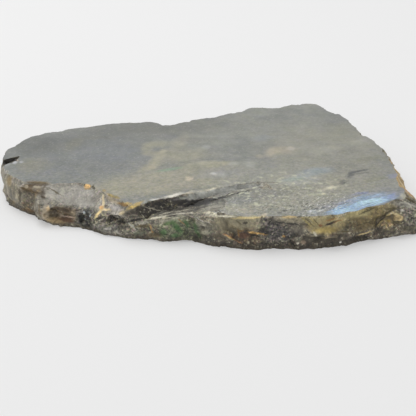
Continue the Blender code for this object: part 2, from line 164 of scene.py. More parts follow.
# The zones of the sides, from the west end round the south side to the tip, then the north side.
# Each is a rod of stone that runs into the slab, down at 25 degrees to the north, so that it shows alike
# on a ledge and on the wall under it. Half width and half height are measured across the rod, and rise
# is the angle at which its width climbs to the east. The last number says how far the stone is broken
# there, from 0, smooth, to 1, crumbling. Sizes are in mm.
# Colour, centre, half width, half height, rise, blur, cover, how broken.
ZONES = (
    ("#8d8570", (-55.5, -16.5, 5.0), 3.8, 5.0, 0, 0.5, 0.8, 0.3),  # west end
    ("#8a8474", (-58.0, -8.0, 5.0), 4.0, 6.0, 0, 0.5, 0.8, 0.3),
    ("#66583f", (-50.0, -22.3, 2.8), 3.0, 2.0, -10, 0.5, 0.8, 0.7),
    ("#a5a197", (-38.5, -24.0, 7.9), 16.0, 3.2, -14, 0.3, 0.9, 0.2),  # bevel
    ("#9b958a", (-26.0, -31.0, 7.6), 6.5, 3.0, -40, 0.4, 0.8, 0.45),  # and its crumbling east end
    ("#624f29", (-48.3, -22.0, 7.5), 3.9, 1.9, -8, 0.4, 0.85, 0.3),  # brown hollow
    ("#877f6c", (-50.0, -21.4, 5.4), 2.4, 1.6, 0, 0.4, 0.8, 0.5),
    ("#63543e", (-39.4, -28.6, 3.2), 4.0, 2.5, -8, 0.3, 0.9, 0.3),  # brown glassy hollow
    ("#55534d", (-33.0, -30.4, 3.2), 2.3, 2.9, 0, 0.4, 0.9, 1.0),  # blue-black patch
    ("#757060", (-26.0, -33.8, 4.1), 5.6, 1.5, 2, 0.4, 0.9, 1.0),  # under the ledge
    ("#75726a", (-26.5, -34.9, 1.7), 4.0, 1.2, -8, 0.4, 0.9, 0.6),  # pale foot
    ("#85806c", (-17.2, -37.8, 3.4), 5.0, 2.7, -3, 0.4, 0.9, 0.8),  # mottled bulge
    ("#302b23", (-12.6, -32.6, 7.6), 8.5, 2.0, 17, 0.2, 0.95, 0.8),  # groove wall
    ("#3d372f", (-3.6, -29.8, 7.6), 6.0, 1.15, 8, 0.2, 0.95, 0.7),
    ("#8b8c86", (4.0, -25.2, 8.8), 12.5, 1.05, 11, 0.3, 0.95, 0.12),  # grey band of the groove
    ("#8b8775", (-6.5, -35.9, 6.9), 8.0, 0.9, 8, 0.4, 0.8, 0.6),  # lip
    ("#83837a", (4.0, -33.6, 9.0), 5.6, 1.7, 14, 0.5, 0.85, 0.3),  # where the lip rises into the ground face
    ("#6c7358", (-6.4, -39.2, 3.9), 5.8, 3.1, 0, 0.4, 0.85, 0.6),  # green patch
    ("#565545", (-3.5, -39.4, 1.6), 8.0, 1.1, 0, 0.4, 0.8, 0.7),
    ("#8c8976", (2.0, -41.0, 4.8), 3.8, 1.6, 0, 0.5, 0.6, 0.6),
    ("#837c64", (8.0, -42.4, 7.0), 7.2, 2.2, 0, 0.4, 0.85, 0.22),  # olive wall
    ("#645541", (9.6, -42.8, 3.3), 5.6, 1.7, -15, 0.4, 0.9, 0.75),  # rust band
    ("#5d5954", (20.0, -42.4, 5.8), 5.6, 3.4, 0, 0.35, 0.9, 0.9),  # charcoal
    ("#4c4536", (36.0, -42.4, 2.4), 13.0, 2.0, 5, 0.3, 0.9, 0.5),
    ("#4d4639", (48.5, -36.8, 2.2), 9.0, 1.6, 20, 0.4, 0.85, 0.7),
    ("#3e382e", (20.0, -43.2, 1.0), 9.0, 1.1, 0, 0.4, 0.85, 0.8),
    ("#3a3226", (7.0, -43.0, 1.0), 6.5, 1.1, -3, 0.4, 0.85, 0.7),
    ("#4a4337", (2.0, -41.6, 2.0), 3.5, 1.2, -8, 0.5, 0.7, 0.7),
    ("#504b3e", (-15.0, -38.2, 1.0), 4.0, 0.8, 0, 0.5, 0.7, 0.7),
    ("#77705f", (24.5, -41.8, 6.9), 4.0, 1.9, 0, 0.5, 0.7, 0.6),
    ("#a6976a", (32.6, -42.4, 6.8), 6.0, 2.3, 6, 0.3, 0.9, 0.25),  # golden shoulder
    ("#7a6c43", (43.8, -37.6, 7.2), 6.8, 2.8, 20, 0.4, 0.9, 0.4),  # olive shoulder
    ("#ad9b73", (49.8, -35.3, 4.6), 3.3, 1.8, 26, 0.3, 0.9, 0.8),  # tan facet
    ("#817d71", (56.0, -33.0, 5.2), 2.1, 4.4, 0, 0.4, 0.9, 0.85),  # grey tip
    ("#b0935e", (56.3, -20.0, 7.2), 7.0, 2.6, -65, 0.4, 0.9, 0.2),  # orange chamfer of the east side
    ("#b8a070", (57.0, -8.0, 6.0), 3.5, 5.0, -65, 0.4, 0.8, 0.15),
)
BROKEN = 0.75  # outside every zone
ROD_DIP = math.radians(-25.0)
ROD_REACH = 5.0


def rod(half_width, half_height, rise):
    """The turn and the three reaches of a rod."""
    turn = Matrix.Rotation(ROD_DIP, 3, "X") @ Matrix.Rotation(math.radians(-rise), 3, "Y")
    return turn, (half_width, max(ROD_REACH, half_width), half_height)


broken = np.full(count, BROKEN)
for colour, centre, half_width, half_height, rise, blur, cover, how_broken in ZONES:
    turn, reach = rod(half_width, half_height, rise)
    out = np.linalg.norm((points - centre) @ np.array(turn) / reach, axis=1)
    share = np.clip((1.0 + blur - out) / (2.0 * blur), 0.0, 1.0)
    broken += (how_broken - broken) * share
slab.data.attributes.new("broken", "FLOAT", "POINT").data.foreach_set("value", broken)

# The saw left the foot steadier than the rest. Where the stone is least broken it is worn round, but
# not within 2 mm of the groove.
AT_FOOT, LITTLE_BROKEN, FADE, CLEAR = 0.1, 0.4, 0.25, 2.0
clear = ~in_groove(points[:, 0], points[:, 1], CLEAR)
groups = {
    "shaken": broken * np.clip(AT_FOOT + points[:, 2] * MM / FOOT, 0.0, 1.0),
    "worn": np.clip((LITTLE_BROKEN - broken) / FADE, 0.0, 1.0) * clear,
}
for name, shares in groups.items():
    group = slab.vertex_groups.new(name=name)
    for i in broken_points:
        group.add([i], shares[i], "REPLACE")

# The creases between the coarse facets are worn before the grains are broken out of them.
for name, rounds in (("shaken", 3), ("worn", 12)):
    wear = slab.modifiers.new(name, "SMOOTH")
    wear.vertex_group = name
    wear.factor = 0.5
    wear.iterations = rounds
    bpy.ops.object.modifier_apply(modifier=name)

# Broken stone, from the cleavage blocks down to the grains: each is a pattern of cells that stand out
# or back, stretched along the cleavage. Name, cell size along, across and up in mm, dip in degrees,
# and reach in mm.
BREAKS = (
    ("cleavage_blocks", (4.2, 3.0, 1.5), 9.0, 0.45),
    ("splinters", (2.2, 1.2, 0.7), -34.0, 0.4),
    ("grains", (0.9, 0.8, 0.6), 20.0, 0.3),
)
CLEAVAGE_TURN = math.radians(12.0)
for name, cell, dip, reach in BREAKS:
    bpy.ops.object.empty_add(rotation=(0.0, math.radians(dip), CLEAVAGE_TURN))
    grid = bpy.context.object
    grid.scale = [size * MM for size in cell]
    bpy.context.view_layer.update()
    cells = bpy.data.textures.new(name, "VORONOI")
    cells.noise_scale = 1.0
    cells.color_mode = "POSITION"
    bpy.ops.object.select_all(action="DESELECT")
    slab.select_set(True)
    bpy.context.view_layer.objects.active = slab
    push = slab.modifiers.new(name, "DISPLACE")
    push.texture = cells
    push.texture_coords = "OBJECT"
    push.texture_coords_object = grid
    push.vertex_group = "shaken"
    push.mid_level = 0.5
    push.strength = reach * MM
    bpy.ops.object.modifier_apply(modifier=name)
    bpy.data.objects.remove(grid)


# The saw and the lap: whatever stands above the upper face or below the underside is taken off.
def above_lap(place):
    return place.z > SLAB_TOP - (FLAT if in_groove(place.x / MM, place.y / MM) else CHIPPED)


def below_saw(place):
    return place.z < FLAT


for level, beyond in ((SLAB_TOP, above_lap), (0.0, below_saw)):
    for point in slab.data.vertices:
        point.select = beyond(point.co)
    for edge in slab.data.edges:
        edge.select = False
    for face in slab.data.polygons:
        face.select = False
    bpy.ops.object.mode_set(mode="EDIT")
    bpy.ops.mesh.select_mode(type="VERT")
    bpy.ops.transform.resize(value=(1.0, 1.0, 0.0), center_override=(0.0, 0.0, level))
    bpy.ops.object.mode_set(mode="OBJECT")

# Folds sharper than this stay edges. The ground face and the underside are shaded flat to their rims.
SHARP = math.radians(32.0)
bpy.ops.object.shade_smooth_by_angle(angle=SHARP)
for face in slab.data.polygons:
    heights = [slab.data.vertices[i].co.z for i in face.vertices]
    if max(heights) < FLAT or min(heights) > SLAB_TOP - FLAT:
        face.use_smooth = False

# How far each point lies in a hollow, in mm: the sides paint shade into the hollows and paint light on
# the edges that stand out. It is the distance to the same point of a worn copy, over 1 mm for nooks and 3 mm
# for bays, and it counts for less where the stone is smooth.
ON_SMOOTH = 0.3
points, normals = np.empty(count * 3), np.empty(count * 3)
slab.data.vertices.foreach_get("co", points)
slab.data.vertices.foreach_get("normal", normals)
points, normals = points.reshape(-1, 3), normals.reshape(-1, 3)
neighbours = np.bincount(both_ways[:, 0], minlength=count)
for name, rounds in (("nook", 4), ("bay", 30)):
    worn = points.copy()
    for _ in range(rounds):
        for axis in range(3):
            worn[:, axis] = np.bincount(both_ways[:, 0], worn[both_ways[:, 1], axis], count) / neighbours
    depth = ((worn - points) * normals).sum(axis=1) / MM * (ON_SMOOTH + (1.0 - ON_SMOOTH) * broken)
    slab.data.attributes.new(name, "FLOAT", "POINT").data.foreach_set("value", depth)


FELDSPAR_IOR = 1.56


def linear(hex_colour):
    """An sRGB hex colour as the linear numbers that a shader takes."""
    shares = [int(hex_colour[i:i + 2], 16) / 255.0 for i in (1, 3, 5)]
    return [s / 12.92 if s <= 0.04045 else ((s + 0.055) / 1.055) ** 2.4 for s in shares] + [1.0]


def add(tree, kind, inputs, **settings):
    """Adds a node: an input given as a socket is linked, and any other value is set."""
    made = tree.nodes.new("ShaderNode" + kind)
    for name, value in settings.items():
        setattr(made, name, value)
    for name, value in inputs.items():
        if isinstance(value, bpy.types.NodeSocket):
            tree.links.new(value, made.inputs[name])
        else:
            made.inputs[name].default_value = value
    return made


def stone_places(tree):
    """Object coordinates in mm, the same wandering as the zones do, and shivering as the marks do."""
    place = add(tree, "TexCoord", {}).outputs["Object"]
    place = add(tree, "VectorMath", {0: place, "Scale": 1.0 / MM}, operation="SCALE").outputs[0]
    drifting = [place]
    for spacing, reach in ((3.0, 2.6), (0.9, 0.7)):
        noise = add(tree, "TexNoise", {"Vector": place, "Scale": 1.0 / spacing, "Detail": 3.0})
        noise = add(tree, "VectorMath", {0: noise.outputs["Color"], 1: (0.5, 0.5, 0.5)}, operation="SUBTRACT")
        noise = add(tree, "VectorMath", {0: noise.outputs[0], "Scale": reach}, operation="SCALE")
        drifting.append(add(tree, "VectorMath", {0: place, 1: noise.outputs[0]}).outputs[0])
    return drifting


def lay(tree, under, place, colour, centre, reach, turn, blur, cover):
    """Lays a colour over what is under it, inside a turned ellipsoid with a soft edge."""
    at = add(tree, "Mapping", {
        "Vector": place, "Location": centre, "Rotation": turn,
        "Scale": [(1.0 + blur) * half for half in reach],
    }, vector_type="TEXTURE")
    inside = add(tree, "TexGradient", {"Vector": at.outputs[0]}, gradient_type="SPHERICAL")
    share = add(tree, "MapRange", {
        "Value": inside.outputs["Fac"], "From Max": 2.0 * blur / (1.0 + blur), "To Max": cover,
    }, interpolation_type="SMOOTHSTEP").outputs[0]
    return add(tree, "Mix", {0: share, 6: under, 7: linear(colour)}, data_type="RGBA").outputs[2]


def lay_rod(tree, under, place, colour, centre, half_width, half_height, rise=0, blur=0.5, cover=0.8):
    """Lays a mark of the broken stone, which is a rod of colour as a zone is."""
    turn, reach = rod(half_width, half_height, rise)
    return lay(tree, under, place, colour, centre, reach, turn.to_euler(), blur, cover)


DEEP = 30.0  # in mm, well through the slab


def lay_flat(tree, under, place, colour, centre, half_length, half_width, turn, blur, cover):
    """Lays a mark of the ground face, which goes straight down into the stone."""
    centre = (*centre, SLAB_TOP / MM)
    reach = (half_length, half_width, DEEP)
    return lay(tree, under, place, colour, centre, reach, (0.0, 0.0, math.radians(turn)), blur, cover)


def finish(tree, tone, roughness, relief, strength, depth):
    """Ends a finish of the stone: its colour, its gloss, and a relief so many mm deep."""
    shader = tree.nodes["Principled BSDF"]
    shader.inputs["IOR"].default_value = FELDSPAR_IOR
    shader.inputs["Roughness"].default_value = roughness
    bump = add(tree, "Bump", {"Height": relief, "Strength": strength, "Distance": depth * MM})
    tree.links.new(tone, shader.inputs["Base Color"])
    tree.links.new(bump.outputs[0], shader.inputs["Normal"])


def drifting_colour(tree, place, waves, detail, roughness, spread, dark, pale):
    """The stone's own colour, between a darker and a paler one. Waves are to the millimetre."""
    broad = add(tree, "TexNoise", {"Vector": place, "Scale": waves, "Detail": detail, "Roughness": roughness})
    share = add(tree, "MapRange", {
        "Value": broad.outputs["Fac"], "From Min": 0.5 - spread, "From Max": 0.5 + spread,
    })
    ends = {0: share.outputs[0], 6: linear(dark), 7: linear(pale)}
    return add(tree, "Mix", ends, data_type="RGBA").outputs[2]


def mottling(tree, noise, bright, tint):
    """A noise as a factor on a colour: how far it sways the brightness, and the red, green and blue."""
    shade = add(tree, "MapRange", {
        "Value": noise.outputs["Fac"], "From Min": 0.3, "From Max": 0.7,
        "To Min": 1.0 - bright, "To Max": 1.0 + bright,
    })
    tinted = add(tree, "MapRange", {
        6: noise.outputs["Color"], 7: (0.3, 0.3, 0.3), 8: (0.7, 0.7, 0.7),
        9: [1.0 - share for share in tint], 10: [1.0 + share for share in tint],
    }, data_type="FLOAT_VECTOR").outputs["Vector"]
    return add(tree, "VectorMath", {0: tinted, "Scale": shade.outputs[0]}, operation="SCALE").outputs[0]


WHITE, GOLD, OCHRE, RUST, BLACK, CHARCOAL = "#e6e2d6", "#b9a05c", "#93824f", "#a8794c", "#12100d", "#3b3732"

# Marks along the rim, on the ground face and on the broken stone alike: colour, centre, half width,
# half height, rise, blur, cover. A row leaves out its last columns where they are as usual.
RIM_MARKS = (
    ("#e0b676", (-32.9, -22.2, 8.9), 0.95, 0.6, 0, 0.3, 1.0),  # orange crystal, its foot and its shadow
    ("#a58545", (-32.9, -23.4, 8.7), 0.95, 0.2, 0, 0.4, 0.9),
    ("#56523f", (-31.2, -22.9, 9.0), 0.35, 0.7, 0, 0.4, 0.9),
    ("#6d5d3b", (-47.0, -20.4, 9.3), 3.2, 0.45, -3, 0.5, 0.85),  # stained rim of the brown hollow
    (OCHRE, (-28.0, -25.9, 9.3), 0.55, 0.35),  # brown flecks above the cross
    (OCHRE, (-25.9, -28.9, 9.2), 1.3, 0.4, -22, 0.5, 0.9),
    (OCHRE, (-24.2, -30.4, 9.3), 1.0, 0.36, -22, 0.5, 0.9),
    ("#a89878", (-25.4, -30.6, 8.6), 2.2, 0.6, -25, 0.6, 0.6),
    ("#8a6a34", (-22.2, -33.9, 8.8), 1.8, 0.42, -15, 0.5, 0.9),
    ("#bfa35c", (-20.6, -34.2, 9.2), 0.9, 0.36, -10),
    (GOLD, (-18.9, -35.4, 9.2), 2.3, 0.5, 28, 0.5, 0.9),  # gold fringe at the groove's west end
    ("#d8d6cc", (-13.9, -32.0, 9.4), 1.2, 0.22, 10, 0.6, 0.8),  # crushed rim of the groove
    (WHITE, (-8.8, -29.4, 9.4), 2.6, 0.42, 14, 0.6, 0.85),
    ("#c9c2ac", (-4.2, -27.3, 9.4), 1.8, 0.3, 12, 0.6, 0.65),
    ("#a6a292", (0.4, -25.6, 9.4), 2.8, 0.32, 12, 0.6, 0.75),
    ("#b5b09a", (3.0, -24.3, 9.4), 3.5, 0.16, 11, 0.6, 0.45),
    (BLACK, (3.2, -31.5, 9.4), 3.6, 0.32, 10, 0.5, 0.95),  # painted shade of the crevice that runs out on the ground face
    ("#1c1914", (8.9, -27.8, 9.4), 4.2, 0.26, 14, 0.5, 0.9),
    ("#d9d3ba", (1.6, -39.8, 8.9), 1.5, 0.45, -10, 0.5, 0.9),  # crushed south rim
    ("#cfcab4", (5.5, -41.8, 9.0), 2.6, 0.28, -2, 0.6, 0.8),
    ("#c4b380", (11.2, -42.5, 8.9), 4.2, 0.33, 3),
    ("#c4b9a0", (15.6, -41.4, 9.2), 0.8, 0.4, 15),
    ("#b7a274", (22.2, -41.9, 8.8), 1.9, 0.34, 2, 0.5, 0.85),
    ("#b8c0c4", (28.6, -39.8, 9.4), 1.2, 0.55, 5, 0.7, 0.5),
    ("#b8b5a0", (54.2, -29.6, 9.2), 0.75, 0.9),  # the tip
    ("#3a362a", (52.0, -31.5, 9.0), 0.9, 0.3, 10, 0.6, 0.7),
)

# Ground face: labradorite lapped flat on fine grit, which leaves a satin that reflects softly, and
# pits where grains pulled out. Grey, with olive zones, pale veins and the blue flash of the stone, a painted
# sheen.
ground = bpy.data.materials.new("labradorite_ground_satin")
ground.use_nodes = True
tree = ground.node_tree
place, wander, shiver = stone_places(tree)

# Zones and veins seen from above: colour, centre, half length, half width, turn, blur, cover.
FACE_MARKS = (
    ("#757877", (-40.0, 2.0), 24.0, 18.0, 15, 0.5, 0.8),  # darker ground to the west
    ("#6c6e6a", (-43.0, 9.0), 7.5, 7.0, 20, 0.6, 0.6),
    ("#63655f", (-52.0, 7.0), 6.0, 7.0, 0, 0.6, 0.6),
    ("#72736d", (-15.0, 22.8), 21.0, 8.0, 4, 0.6, 0.78),  # darker ground along the back
    ("#a3a296", (27.5, -12.0), 7.0, 8.5, 0, 0.6, 0.5),  # paler ground to the east
    ("#a0a096", (30.0, 12.0), 12.0, 15.0, 0, 0.6, 0.42),
    ("#7d7c6b", (-39.8, 8.0), 2.2, 6.0, -15, 0.6, 0.5),
    ("#7d8183", (-28.5, 1.0), 11.5, 6.5, -4, 0.6, 0.55),
    ("#6c6b62", (-33.0, 13.5), 4.0, 1.5, -3, 0.6, 0.5),
    ("#9d9986", (-12.0, -20.0), 24.0, 8.0, 19, 0.35, 0.8),  # olive ground above the groove
    ("#989686", (24.0, -28.0), 26.0, 13.0, 20, 0.6, 0.75),
    ("#8e8c7f", (36.0, 2.0), 17.0, 22.0, 20, 0.6, 0.6),
    ("#8b8874", (-50.0, -8.0), 4.5, 5.0, 0, 0.6, 0.5),
    ("#6f706a", (-32.5, 18.4), 4.8, 2.6, 5, 0.6, 0.5),
    ("#8f8e7e", (42.7, 18.0), 6.0, 7.0, -30, 0.6, 0.5),
    ("#999685", (-7.0, -1.0), 8.0, 5.6, 20, 0.6, 0.8),  # olive zone, and its vein round a grey eye
    ("#a39f88", (-14.4, 8.7), 3.6, 2.3, 2, 0.7, 0.6),
    ("#a09c86", (-17.6, 4.2), 1.6, 3.8, -5, 0.7, 0.6),
    ("#a09c86", (-16.0, 1.0), 2.2, 1.9, 0, 0.7, 0.6),
    ("#a9a48c", (-13.4, -0.7), 1.6, 4.4, -15, 0.7, 0.6),
    ("#a9a48c", (-14.6, -6.0), 1.9, 3.6, -11, 0.7, 0.65),
    ("#aea78e", (-16.6, -10.2), 3.0, 1.7, 52, 0.7, 0.65),
    ("#b8b29c", (-12.6, 2.6), 0.9, 1.6, 0, 0.6, 0.7),
    ("#a09c88", (-7.9, 9.4), 2.2, 6.2, -17, 0.7, 0.6),
    ("#a6a28b", (1.6, -7.0), 6.6, 2.0, 8, 0.6, 0.8),
    ("#9a9782", (-4.0, -10.0), 6.0, 1.6, 14, 0.6, 0.5),
    ("#8f9090", (4.6, -14.4), 6.4, 3.4, 12, 0.6, 0.6),  # and grey ground south of it
    ("#c8c9c4", (2.3, -14.2), 0.9, 1.0, 0, 0.7, 0.7),
    ("#b4b5af", (4.6, -15.0), 1.5, 1.4, 0, 0.7, 0.5),
    ("#b0b1ad", (0.0, 5.6), 1.2, 1.5, 0, 0.7, 0.5),
    ("#7fa083", (-10.2, -11.2), 3.6, 0.9, 24, 0.6, 0.55),  # faint green flash, a painted sheen
    ("#c4b8a0", (-4.4, -17.6), 1.0, 1.6, 0, 0.6, 0.8),
    ("#aeb0ab", (8.2, -6.8), 1.4, 1.2, 0, 0.7, 0.45),
    ("#a8a9a4", (13.1, -7.2), 1.6, 2.2, 0, 0.7, 0.45),
    ("#a49f8e", (9.0, -38.0), 4.6, 3.0, 15, 0.6, 0.5),
    ("#7c7f82", (9.4, -33.0), 4.4, 2.6, 15, 0.6, 0.65),
    ("#7e7e75", (14.5, -28.2), 8.5, 4.6, 15, 0.6, 0.65),
    ("#a9aaa4", (27.0, -18.5), 5.2, 3.6, 15, 0.6, 0.6),
    ("#7f7f77", (-3.8, 11.8), 4.6, 2.4, 0, 0.6, 0.65),
    ("#a39d8b", (16.0, -1.4), 1.2, 1.4, 0, 0.6, 0.6),  # cream feldspar lens
    ("#aca592", (19.6, 1.6), 1.7, 3.4, -10, 0.6, 0.75),
    ("#a69e8b", (22.8, 3.4), 3.8, 3.0, 8, 0.6, 0.7),
    ("#b9b3a6", (25.6, 4.8), 1.3, 1.4, 10, 0.6, 0.8),
    ("#82826f", (47.0, -4.0), 5.0, 1.6, 28, 0.6, 0.5),  # streaks of the east side
    ("#7e7f76", (40.0, -9.0), 5.0, 2.0, 26, 0.6, 0.45),
    ("#a5a496", (36.0, 4.0), 5.0, 2.2, 26, 0.6, 0.45),
    ("#84856f", (47.5, -18.5), 3.6, 1.2, 26, 0.6, 0.5),
    ("#a3a395", (45.5, 9.5), 3.6, 2.0, 30, 0.6, 0.4),
    ("#83847b", (28.0, 27.0), 7.0, 3.0, 12, 0.6, 0.4),
    ("#8c9ba5", (31.6, -12.6), 5.0, 2.4, 15, 0.7, 0.55),  # faint blue flash, a painted sheen
    ("#90a09a", (25.6, -17.8), 4.6, 1.2, 24, 0.6, 0.5),
    ("#8b9196", (17.3, 13.3), 3.0, 2.2, 20, 0.6, 0.4),
    ("#ccc8ae", (35.2, -24.0), 1.8, 0.9, 20, 0.7, 0.9),  # pale lenses
    ("#c6c5a8", (32.2, -28.4), 1.1, 0.7, 10, 0.7, 0.75),
    ("#b9bb9c", (29.4, -28.6), 1.6, 0.6, 8, 0.7, 0.5),
    ("#b0ad97", (32.4, -25.4), 2.2, 0.8, 20, 0.7, 0.5),
    ("#4a4d4d", (43.8, -12.6), 3.4, 0.55, 26, 0.6, 0.8),  # dark inclusion, a branching crack
    ("#4f5252", (41.4, -15.2), 0.8, 2.6, -24, 0.6, 0.8),
    ("#55564f", (45.0, -13.8), 2.2, 0.4, 20, 0.6, 0.6),
    ("#505250", (38.6, -20.6), 1.1, 1.6, -20, 0.6, 0.7),
    ("#2f2f2b", (29.4, -38.2), 1.1, 0.55, 40, 0.5, 0.85),  # dark pits with white dust beside them
    ("#2f2f2b", (31.6, -37.4), 0.7, 0.45, 40, 0.5, 0.8),
    ("#34342f", (28.4, -36.6), 0.5, 0.4, 0, 0.5, 0.7),
    ("#dedfd8", (30.8, -39.0), 1.3, 0.45, 40, 0.5, 0.8),
    ("#dedfd8", (28.2, -39.4), 0.9, 0.5, 20, 0.5, 0.8),
    ("#dcdcd6", (33.6, -36.2), 0.8, 0.45, 40, 0.5, 0.7),
    ("#d6d7d0", (36.4, -34.4), 0.7, 0.5, 40, 0.5, 0.7),
    ("#3a3a34", (21.2, -39.2), 0.8, 0.4, 20, 0.5, 0.8),
    ("#3a3a34", (19.8, -40.4), 0.7, 0.35, 0, 0.5, 0.8),
    ("#c4c6ae", (11.5, -27.9), 0.8, 0.5, 0, 0.6, 0.7),  # pale grains east of the groove
    ("#c0c3ae", (13.8, -23.8), 0.7, 0.6, 0, 0.6, 0.6),
    ("#bcc2ae", (16.0, -22.6), 0.9, 0.6, 0, 0.6, 0.6),
    ("#c0c3ae", (9.2, -24.5), 0.7, 0.5, 0, 0.6, 0.5),
    ("#c4c5c8", (-55.6, -6.0), 0.6, 1.1, 0, 0.6, 0.8),  # painted glints on the lip of the west notch
    ("#b4b5b8", (-53.8, -5.8), 0.5, 0.9, 0, 0.6, 0.6),
    ("#a8a9a8", (-57.4, -7.6), 0.8, 1.2, 0, 0.6, 0.6),
)
WIDE = 1.4  # in mm: the edges of what is wider wander, and of what is narrower shiver
tone = drifting_colour(tree, place, 0.07, 4.0, 0.6, 0.12, "#7d7f7b", "#8e8f87")
for mark in FACE_MARKS:
    tone = lay_flat(tree, tone, wander if mark[3] > WIDE else shiver, *mark)

# The twin lamellae lie 32 degrees round from the slab's length. They draw out the grains and fray
# the flash, a sheen that they reflect and that is painted into the colour here.
ALONG_LAMELLAE = (0.0, 0.0, math.radians(32.0))
FRAY = (7.0, 8.0, 0.0)  # in mm, across the whole range of the noise
lamellae = add(tree, "Mapping", {
    "Vector": place, "Rotation": ALONG_LAMELLAE, "Scale": (5.0, 1.0, 1.0),
}, vector_type="TEXTURE")
fray = add(tree, "TexNoise", {"Vector": lamellae.outputs[0], "Scale": 0.8, "Detail": 3.0, "Roughness": 0.6})
fray = add(tree, "VectorMath", {0: fray.outputs["Color"], 1: (0.5, 0.5, 0.5)}, operation="SUBTRACT")
fray = add(tree, "VectorMath", {0: fray.outputs[0], 1: FRAY}, operation="MULTIPLY")
frayed = add(tree, "VectorMath", {0: shiver, 1: fray.outputs[0]}).outputs[0]
# The blue flash: a painted sheen, the light that the lamellae reflect at one angle, laid into the face's
# colour.
FLASH_SHEEN = (
    ("#8b90a0", (42.0, -33.6), 15.0, 4.6, 32, 0.5, 0.38),  # its faint skirt
    ("#8eabc8", (44.6, -33.2), 7.2, 3.2, 31, 0.5, 0.85),  # the greater lens
    ("#bfe0ec", (44.8, -33.2), 4.2, 1.6, 32, 0.7, 0.8),  # and palest along its middle
    ("#98b9d6", (36.8, -38.8), 4.8, 2.0, 34, 0.5, 0.85),  # the lesser lens
    ("#b5d6e4", (37.4, -38.8), 2.8, 0.9, 34, 0.6, 0.5),
    ("#8089b4", (43.4, -27.8), 2.8, 0.9, 24, 0.6, 0.6),  # violet edges
    ("#7f8ec2", (50.2, -29.8), 2.2, 1.0, 27, 0.6, 0.45),
    ("#8a93b4", (38.6, -33.4), 2.4, 0.7, 30, 0.6, 0.3),
    ("#9498b0", (53.0, -15.8), 1.4, 1.6, 20, 0.6, 0.5),
)
for mark in FLASH_SHEEN:
    tone = lay_flat(tree, tone, frayed, *mark)
for mark in RIM_MARKS:
    tone = lay_rod(tree, tone, shiver, *mark)

# The mottling: clouds of 4.5 mm, and grains of about 1 mm that differ in brightness and lean to yellow
# or to lilac, the more so to the south, where the lap bit deeper.
clouds = add(tree, "TexNoise", {"Vector": place, "Scale": 0.22, "Detail": 5.0, "Roughness": 0.7})
clouds = mottling(tree, clouds, 0.14, (0.02, 0.02, 0.06))
tone = add(tree, "VectorMath", {0: tone, 1: clouds}, operation="MULTIPLY").outputs[0]
grains = add(tree, "Mapping", {
    "Vector": place, "Rotation": ALONG_LAMELLAE, "Scale": (1.3, 1.3, 1.0),
}, vector_type="TEXTURE")
grains = add(tree, "TexNoise", {"Vector": grains.outputs[0], "Scale": 1.15, "Detail": 4.0, "Roughness": 0.75})
grains = mottling(tree, grains, 0.34, (0.07, 0.05, 0.18))
south = add(tree, "SeparateXYZ", {0: place})
south = add(tree, "MapRange", {
    "Value": south.outputs[1], "From Min": -36.0, "From Max": 8.0, "To Min": 1.0, "To Max": 0.22,
})
layers = {0: south.outputs[0], 6: tone, 7: grains}
tone = add(tree, "Mix", layers, data_type="RGBA", blend_type="MULTIPLY").outputs[2]

# Pits where grains pulled out, white with dust or dark, each about twice as long as wide. They gather
# towards the south rim, thickest west of the flash. Over them lie pale flecks of feldspar of 2 mm.
# What is spread, colour, centre, half length, half width, turn, cover, and the heights of the noise
# at which it starts and is full.
pits = add(tree, "Mapping", {
    "Vector": place, "Rotation": (0.0, 0.0, math.radians(60.0)), "Scale": (1.7, 0.9, 1.0),
}, vector_type="TEXTURE")
pits = add(tree, "TexNoise", {"Vector": pits.outputs[0], "Scale": 1.5, "Detail": 2.0, "Roughness": 0.7})
flecks = add(tree, "TexNoise", {"Vector": place, "Scale": 0.55, "Detail": 2.0, "Roughness": 0.6})
NONE, ALL = (0.0, 0.0, 0.0, 1.0), "#ffffff"  # a share is laid as white on black
for spread, colour, centre, half_length, half_width, turn, cover, start, full in (
    (pits, "#2c2c27", (29.0, -37.0), 9.0, 4.5, 30, 0.75, 0.41, 0.36),
    (pits, "#34342f", (18.0, -38.0), 7.0, 3.0, 10, 0.7, 0.41, 0.36),
    (pits, "#4c4c46", (10.0, -33.0), 34.0, 9.0, 12, 0.35, 0.40, 0.34),
    (pits, "#e6e6df", (32.5, -35.5), 10.0, 5.0, 30, 0.7, 0.59, 0.64),
    (pits, "#d6d6cc", (12.0, -34.0), 30.0, 9.0, 12, 0.4, 0.60, 0.66),
    (pits, "#c6c6bc", (0.0, 0.0), 80.0, 60.0, 0, 0.2, 0.59, 0.66),
    (flecks, "#c9cab0", (17.0, -27.0), 22.0, 12.0, 16, 0.75, 0.56, 0.68),
):
    present = add(tree, "MapRange", {"Value": spread.outputs["Fac"], "From Min": start, "From Max": full})
    share = lay_flat(tree, NONE, wander, ALL, centre, half_length, half_width, turn, 0.5, cover)
    share = add(tree, "Math", {0: present.outputs[0], 1: share}, operation="MULTIPLY")
    tone = add(tree, "Mix", {0: share.outputs[0], 6: tone, 7: linear(colour)}, data_type="RGBA").outputs[2]
finish(tree, tone, 0.42, pits.outputs["Fac"], 0.3, 0.05)

